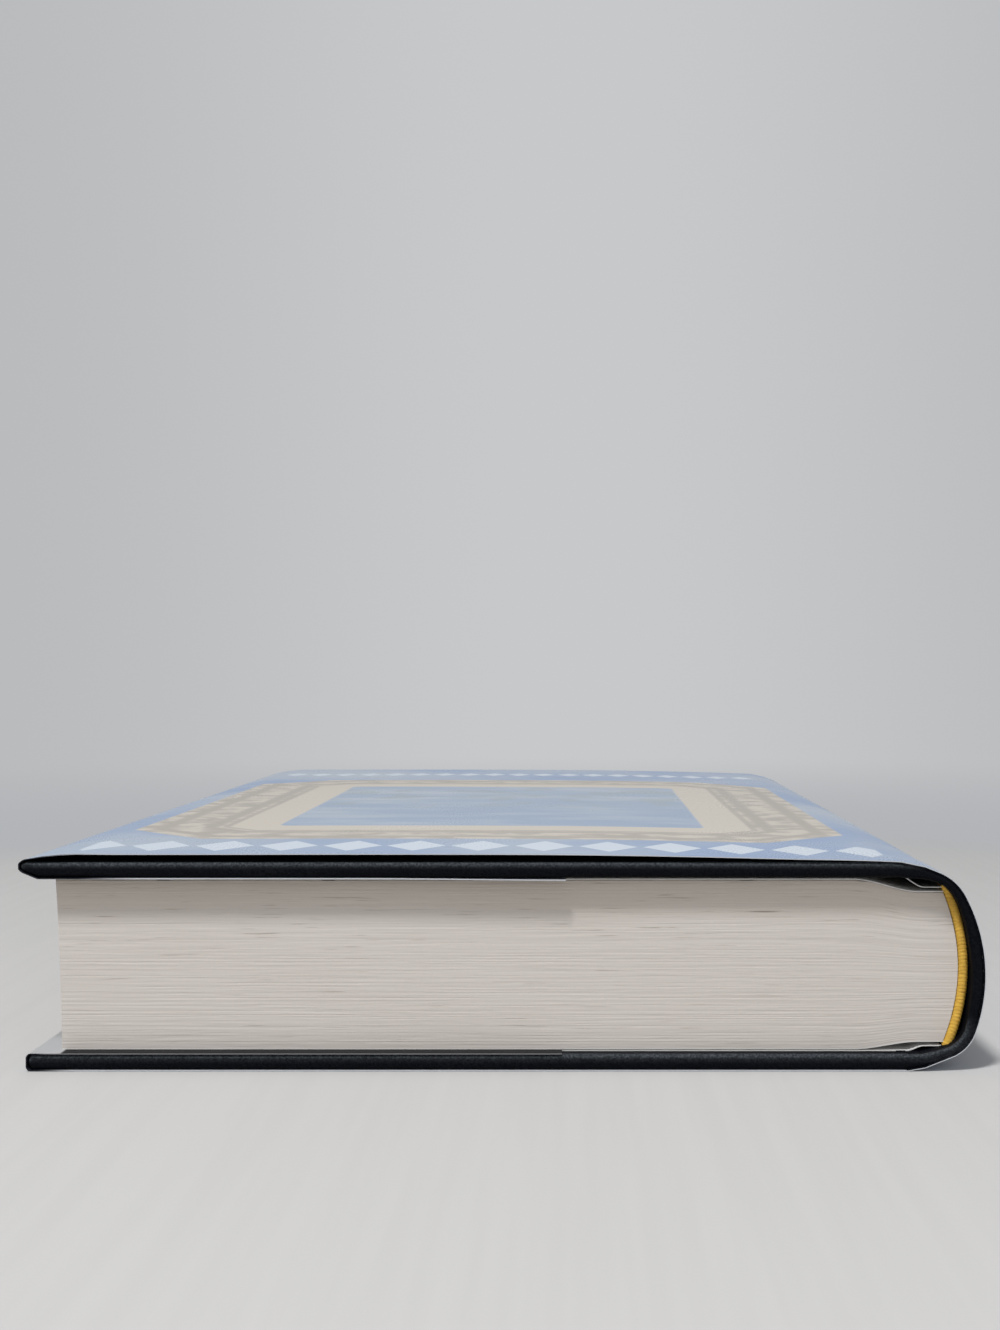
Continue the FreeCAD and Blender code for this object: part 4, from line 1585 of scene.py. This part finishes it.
@dataclass
class LeafBlock:
    """All leaves as one block, each group of leaves cut a little longer or shorter."""

    finishes: Finishes
    groups: int = 150
    columns: int = 70
    lengths: int = 60
    hollow: float = 0.2                # of the fore-edge, in millimetres
    rounding: float = 2.6              # of the spine, in millimetres
    least_short: float = 0.004         # how far groups of leaves stay behind, in millimetres
    cut_short: float = 0.014
    drift_short: float = 0.018
    tear_short: float = 0.022
    cuts: list[list[float]] = field(default_factory=list)
    levels: list[float] = field(default_factory=list)

    def build(self) -> None:
        """Builds the block from mapped grids."""
        rng = random.Random(SEED)
        self.cuts = [[rng.random() for _ in range(self.groups)] for _ in range(3)]
        heights = [0.0]
        thinnest, spread = 0.6, 0.8
        for _ in range(self.groups):
            heights.append(heights[-1] + thinnest + rng.random() * spread)
        self.levels = [h / heights[-1] for h in heights]
        bm = bmesh.new()
        layer = bm.loops.layers.uv.new("print")
        sides = (("s", 0.0), ("s", 1.0), ("f", 0.0), ("f", 1.0), ("t", 0.0), ("t", 1.0))
        for axis, value in sides:
            self._side(bm, layer, axis, value)
        bmesh.ops.remove_doubles(bm, verts=bm.verts[:], dist=0.002 * MM)
        bmesh.ops.recalc_face_normals(bm, faces=bm.faces[:])
        block = link("leaf_block", bm, (self.finishes.leaves,), 60.0)
        ride(block, Body.BLOCK, "text_block")

    def _side(self, bm: bmesh.types.BMesh, layer: bmesh.types.BMLayerItem, axis: str,
              value: float) -> None:
        """Adds one side of the block.

        Args:
            bm: the mesh.
            layer: its UV layer.
            axis: the block's own axis that is constant on this side.
            value: the side's place on that axis.
        """
        rows = self.groups * 2 + 1
        count = {"s": (self.lengths, rows), "t": (self.columns, rows),
                 "f": (self.columns, self.lengths)}[axis]
        made = bmesh.ops.create_grid(bm, x_segments=count[0], y_segments=count[1], size=0.5)
        places = {}
        for vert in made["verts"]:
            a, b = vert.co.x + 0.5, vert.co.y + 0.5
            s, f, t = {"s": (value, b, a), "t": (a, b, value), "f": (a, value, b)}[axis]
            if axis != "f":
                f = self._level(f, rows)
            places[vert] = (s, f, t)
        faces = {face for vert in made["verts"] for face in vert.link_faces}
        for vert, (s, f, t) in places.items():
            vert.co = self.point(s, f, t)
        for face in faces:
            for loop in face.loops:
                s, f, t = places[loop.vert]
                along = t * 2 * HALF_LEAF if axis == "s" else s * (LEAF_SPINE_X - LEAF_TOP_X)
                apart = value * 0.4
                loop[layer].uv = (along * MM + apart, f * (LEAF_TOP_Z - LEAF_LOW_Z) * MM)

    def _level(self, share: float, rows: int) -> float:
        """The height of a row: two rows bound each group of leaves.

        Args:
            share: the row as a share of all rows.
            rows: number of steps between rows.

        Returns:
            The share of the block's thickness.
        """
        index = round(share * rows)
        group = min(index // 2, self.groups - 1)
        low, high = self.levels[group], self.levels[group + 1]
        gap = 0.12
        inset = gap if index % 2 == 0 else 1 - gap
        if index == 0:
            return 0.0
        if index >= rows:
            return 1.0
        return low + (high - low) * inset

    def point(self, s: float, f: float, t: float) -> Vector:
        """The place in the book of a point given on the block's own axes.

        Args:
            s: 0 at the fore-edge, 1 at the spine.
            f: 0 at the bottom leaf, 1 at the top one.
            t: 0 at the head, 1 at the tail.

        Returns:
            The point in metres.
        """
        left = LEAF_LOW_X + (LEAF_TOP_X - LEAF_LOW_X) * f
        x = left + (LEAF_SPINE_X - left) * s
        run = smooth((x - PINCH_START_X) / (PINCH_END_X - PINCH_START_X))
        low = LEAF_LOW_Z + PINCH_LOW * run
        high = LEAF_TOP_Z - PINCH_TOP * run
        z = low + (high - low) * f
        arch = 4 * f * (1 - f)
        near_edge = max(0.0, 1 - s * 12)
        near_spine = max(0.0, 1 - (1 - s) * 9)
        x += arch * (self.hollow * near_edge + self.rounding * near_spine)
        y = -HALF_LEAF + 2 * HALF_LEAF * t
        fade = 50
        y += self._short(0, f, x) * max(0.0, 1 - t * fade)
        y -= self._short(1, f, x) * max(0.0, 1 - (1 - t) * fade)
        x += self._short(2, f, y) * max(0.0, 1 - s * fade)
        return Vector((x, y, z)) * MM

    def _short(self, side: int, f: float, along: float) -> float:
        """How far a group of leaves stays behind the trimmed face.

        Args:
            side: 0 head, 1 tail, 2 fore-edge.
            f: place through the block.
            along: place along the leaf.

        Returns:
            The depth in millimetres.
        """
        group = 0
        while group < self.groups - 1 and self.levels[group + 1] <= f + 1e-9:
            group += 1
        own = self.cuts[side][group]
        drift = noise.noise(Vector((along / 16, group * 0.71, side * 9.0)))
        tear = noise.noise(Vector((along / 4, group * 1.7, side * 5.0)))
        loose = self.drift_short * max(0.0, drift) + self.tear_short * max(0.0, tear)
        return self.least_short + self.cut_short * own ** 2 + loose


@dataclass
class Headbands:
    """The yellow beads at head and tail and the tape that holds them, in millimetres."""

    finishes: Finishes
    radius: float = 33.426             # of the back of the leaves
    back_x: float = 78.9
    centre_z: float = 17.425
    half_angle: float = 24.7
    bead: float = 0.88                 # radius of the bead
    bead_out: float = 0.9              # its middle beyond the back of the leaves
    bead_y: float = 117.4
    bead_sides: int = 14
    steps: int = 150
    thread_pitch: float = 0.62
    thread_lean: float = 0.35          # how much a turn of thread leans along the bead
    thread_depth: float = 0.14         # share of the bead's radius between two turns
    tape_out: float = 0.24
    tape_y: float = 104.6
    tape_depth: float = 12.6

    def build(self) -> None:
        """Builds both bands."""
        for name, side in (("head_band", -1), ("tail_band", 1)):
            band = self._bead(f"{name}_bead", side)
            ride(band, Body.BLOCK, name)

    def _bead(self, name: str, side: int) -> bpy.types.Object:
        """A corded bead swept round the back of the leaves, with its tape.

        Args:
            name: the piece's name.
            side: -1 at the head, 1 at the tail.

        Returns:
            The object.
        """
        centre = Vector((self.back_x - self.radius, 0, self.centre_z))
        half_angle = math.radians(self.half_angle)
        middle_reach = self.radius + self.bead_out
        bm = bmesh.new()
        corners = []
        for step in range(self.bead_sides):
            turn = 2 * math.pi * step / self.bead_sides
            reach = middle_reach + self.bead * math.cos(turn)
            along = self.bead_y + self.bead * math.sin(turn)
            corners.append(bm.verts.new((centre.x + reach * math.cos(half_angle), side * along,
                                         centre.z + reach * math.sin(half_angle))))
        edges = [bm.edges.new((a, b)) for a, b in zip(corners, corners[1:] + corners[:1])]
        bmesh.ops.spin(bm, geom=corners + edges, cent=centre, axis=(0, 1, 0), steps=self.steps,
                       angle=2 * half_angle, use_merge=False, use_duplicate=False)
        bmesh.ops.holes_fill(bm, edges=[e for e in bm.edges if e.is_boundary], sides=0)
        middle = Vector((0, side * self.bead_y, 0))
        for vert in bm.verts:
            flat = Vector((vert.co.x - centre.x, vert.co.z - centre.z))
            way = math.atan2(flat.y, flat.x)
            spine = centre + Vector((math.cos(way), 0, math.sin(way))) * middle_reach + middle
            lean = (vert.co.y - middle.y) * self.thread_lean
            turns = (way * self.radius + lean) / self.thread_pitch
            thread = 0.5 + 0.5 * math.cos(turns * 2 * math.pi)
            vert.co = spine + (vert.co - spine) * (1 - self.thread_depth * (1 - thread))
        tape = bmesh.ops.create_grid(bm, x_segments=20, y_segments=2, size=0.5)["verts"]
        for vert in tape:
            way = vert.co.x * 2 * half_angle
            along = self.tape_y + (vert.co.y + 0.5) * self.tape_depth
            reach = self.radius + self.tape_out
            vert.co = (centre.x + reach * math.cos(way), side * along,
                       centre.z + reach * math.sin(way))
        bmesh.ops.recalc_face_normals(bm, faces=bm.faces[:])
        bmesh.ops.scale(bm, vec=(MM, MM, MM), verts=bm.verts[:])
        return link(name, bm, (self.finishes.band,), 70.0)


# Small helpers


def dense(stretch: Stretch, left: float, right: float) -> Stretch:
    """Adds samples where the pasted leaf steps on to the bare board.

    Args:
        stretch: the pasted leaf's section.
        left: its fore-edge.
        right: the board's edge.

    Returns:
        The stretch with the added samples.
    """
    steps = []
    half = EMBOSS_WIDTH / 2
    for place in (left - SQUARE + TURN_IN, right - JOINT_LAP):
        steps += [place + shift for shift in (-half, -0.2, 0.0, 0.2, half)]
    samples = dict(zip(stretch.along, stretch.points))
    for place in steps:
        length = place - left
        samples[length] = stretch.place(length)
    ordered = sorted(samples)
    return Stretch(tuple(samples[u] for u in ordered), tuple(ordered))


def ride(piece: bpy.types.Object, body: Body, *nodes: str) -> None:
    """Ties a piece to a body in place of CAD nodes.

    Args:
        piece: the object.
        body: the body it moves with.
        nodes: the CAD nodes that it stands for.
    """
    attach(piece, body.value)
    if nodes:
        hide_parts(*nodes)


def bend_front(piece: bpy.types.Object) -> None:
    """Bakes the place of a piece between the leaves and the front cover into its mesh."""
    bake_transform(piece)


def bend_back(piece: bpy.types.Object) -> None:
    """Bakes the place of a piece between the back cover and the leaves into its mesh."""
    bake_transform(piece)


def merge_into(target: bpy.types.Object, others: Sequence[bpy.types.Object]) -> None:
    """Adds the meshes of other objects to one object.

    Args:
        target: the object that stays.
        others: the objects that end with this.
    """
    bm = bmesh.new()
    bm.from_mesh(target.data)
    for other in others:
        bm.from_mesh(other.data)
        bpy.data.objects.remove(other)
    bm.to_mesh(target.data)
    bm.free()
    target.data.shade_smooth()
    target.data.set_sharp_from_angle(angle=math.radians(50))


def finish_nodes(nodes: dict[str, bpy.types.Object], finishes: Finishes) -> None:
    """Gives the CAD nodes that stay visible their finish.

    Args:
        nodes: the CAD nodes by name.
        finishes: the materials.
    """
    wanted = {"spine_mull": (finishes.gauze, Slot.GAUZE), "spine_lining": (finishes.kraft, Slot.KRAFT),
              "spine_inlay": (finishes.card, Slot.CARD)}
    for name, (finish, slot) in wanted.items():
        node = nodes[name]
        for index in range(len(node.material_slots)):
            node.material_slots[index].material = finish
        if not node.material_slots:
            node.data.materials.append(finish)


# Stage, light and camera


@dataclass
class Studio:
    """Pale floor, plain background, soft light and the camera of the photograph."""

    floor_colour: Colour = (0.536, 0.529, 0.522)
    wall_middle: Colour = (0.571, 0.578, 0.590)
    wall_side: Colour = (0.485, 0.494, 0.505)
    wall_foot_shade: Colour = (0.445, 0.455, 0.475)
    sky: Colour = (0.97, 0.985, 1.0)
    sky_strength: float = 0.40
    floor_size: float = 6.0
    floor_eye: tuple[float, float] = (0.0125, -0.40)
    eye: tuple[float, float, float] = (0.0125, -0.40165, 0.0685)
    lens: float = 44.34
    sensor: float = 36.0
    shift: tuple[float, float] = (-0.0564, 0.00526)

    def build(self) -> None:
        """Builds the whole setting."""
        self._floor()
        self._world()
        self._lamp("key", place=(-0.17, -0.56, 1.05), size=0.16, power=10.8)
        self._lamp("fill", place=(0.30, -0.95, 0.30), size=0.8, power=1.15)
        self._camera()
        scene = bpy.context.scene
        scene.view_settings.view_transform = "Standard"
        scene.view_settings.look = "None"

    def _floor(self) -> None:
        """A large sheet that fades with distance into a glowing, painted background, darker at its
        foot as painted shade.
        """
        bm = bmesh.new()
        bmesh.ops.create_grid(bm, x_segments=1, y_segments=1, size=self.floor_size)
        below_book = 0.00005
        bmesh.ops.translate(bm, vec=(0, 0, -below_book), verts=bm.verts[:])
        material = bpy.data.materials.new("floor_paper")
        material.use_nodes = True
        palette = Palette(material.node_tree)
        shader = material.node_tree.nodes["Principled BSDF"]
        shader.inputs["Roughness"].default_value = 0.75
        shader.inputs["Specular IOR Level"].default_value = 0.25
        place = palette.place()
        ribs = palette.streaks(place, (260.0, 9.0, 1.0), detail=2.0)
        palette.feed(shader.inputs["Base Color"],
                     palette.mix(ribs.ease(0.3, 0.7) * 0.5, self.floor_colour,
                                 tuple(c * 0.95 for c in self.floor_colour)))
        x, y, _ = palette.split(place)
        away = (x * x + y * y).math("SQRT")
        ahead = palette.node("ShaderNodeCombineXYZ", X=x - self.floor_eye[0],
                             Y=y - self.floor_eye[1])
        way = palette.node("ShaderNodeVectorMath", Vector=palette.wire(ahead))
        way.operation = "NORMALIZE"
        # Painted shade: the background is darker at its foot, where the floor meets the wall
        wall = palette.mix(away.ease(0.30, 0.95), self.wall_foot_shade,
                           self._wall(palette, palette.wire(way)))
        # The far floor glows with this painted background instead of being lit
        glow = palette.node("ShaderNodeEmission", Color=wall, Strength=1.0)
        blend = palette.node("ShaderNodeMixShader")
        fade = away.ease(0.24, 0.34)
        palette.feed(blend.inputs[0], fade)
        links = material.node_tree.links
        links.new(shader.outputs[0], blend.inputs[1])
        links.new(glow.outputs[0], blend.inputs[2])
        links.new(blend.outputs[0], material.node_tree.nodes["Material Output"].inputs[0])
        floor = link("floor", bm, (material,))
        floor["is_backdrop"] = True

    def _world(self) -> None:
        """Even light all round, and a plain background where it is seen or mirrored."""
        world = bpy.data.worlds.new("studio")
        bpy.context.scene.world = world
        world.use_nodes = True
        palette = Palette(world.node_tree)
        light = world.node_tree.nodes["Background"]
        light.inputs["Color"].default_value = (*self.sky, 1.0)
        light.inputs["Strength"].default_value = self.sky_strength
        seen = palette.wire(palette.node("ShaderNodeTexCoord"), "Generated")
        plain = palette.node("ShaderNodeBackground", Color=self._wall(palette, seen),
                             Strength=1.0)
        path = palette.node("ShaderNodeLightPath")
        blend = palette.node("ShaderNodeMixShader")
        shown = palette.wire(path, "Is Camera Ray").max(palette.wire(path, "Is Glossy Ray"))
        palette.feed(blend.inputs[0], shown.max(palette.wire(path, "Is Transmission Ray")))
        links = world.node_tree.links
        links.new(light.outputs[0], blend.inputs[1])
        links.new(plain.outputs[0], blend.inputs[2])
        links.new(blend.outputs[0], world.node_tree.nodes["World Output"].inputs[0])

    def _wall(self, palette: Palette, way: Wire) -> Wire:
        """Background colour in a direction of view, a little darker away from the middle as painted
        shade.
        """
        across, _, _ = palette.split(way)
        return palette.mix(across.abs().ease(0.02, 0.36), self.wall_middle, self.wall_side)

    def _lamp(self, name: str, place: tuple[float, float, float], size: float,
              power: float) -> None:
        """A soft square lamp that looks at the book.

        Args:
            name: its name.
            place: where it hangs, in metres.
            size: its side, in metres.
            power: its power, in watts.
        """
        data = bpy.data.lights.new(name, "AREA")
        data.size = size
        data.energy = power
        lamp = bpy.data.objects.new(name, data)
        lamp.location = place
        middle_of_book = Vector((0, 0, 0.02))
        aim = middle_of_book - Vector(place)
        lamp.rotation_euler = aim.to_track_quat("-Z", "Y").to_euler()
        bpy.context.scene.collection.objects.link(lamp)

    def _camera(self) -> None:
        """The level camera in front of the head of the book."""
        data = bpy.data.cameras.new("camera")
        data.lens = self.lens
        data.sensor_width = self.sensor
        data.shift_x, data.shift_y = self.shift
        camera = bpy.data.objects.new("camera", data)
        camera.location = self.eye
        camera.rotation_euler = (math.pi / 2, 0, 0)
        bpy.context.scene.collection.objects.link(camera)
        bpy.context.scene.camera = camera


def corners() -> list[list[float]]:
    """Lowest and highest corner of what is shown, as plain lists."""
    return [[float(part) for part in corner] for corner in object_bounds()]


def main() -> None:
    """Builds the scene from the frame."""
    logging.basicConfig(level=logging.INFO, format="%(name)s: %(message)s")
    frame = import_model()
    finishes = Finishes()
    finish_nodes(frame["nodes"], finishes)
    for assembly in (LeafBlock(finishes), Headbands(finishes), Endpapers(finishes),
                     Cases(finishes), SpineCase(finishes), Jacket(finishes)):
        assembly.build()
    Studio().build()


if __name__ == "__main__":
    main()
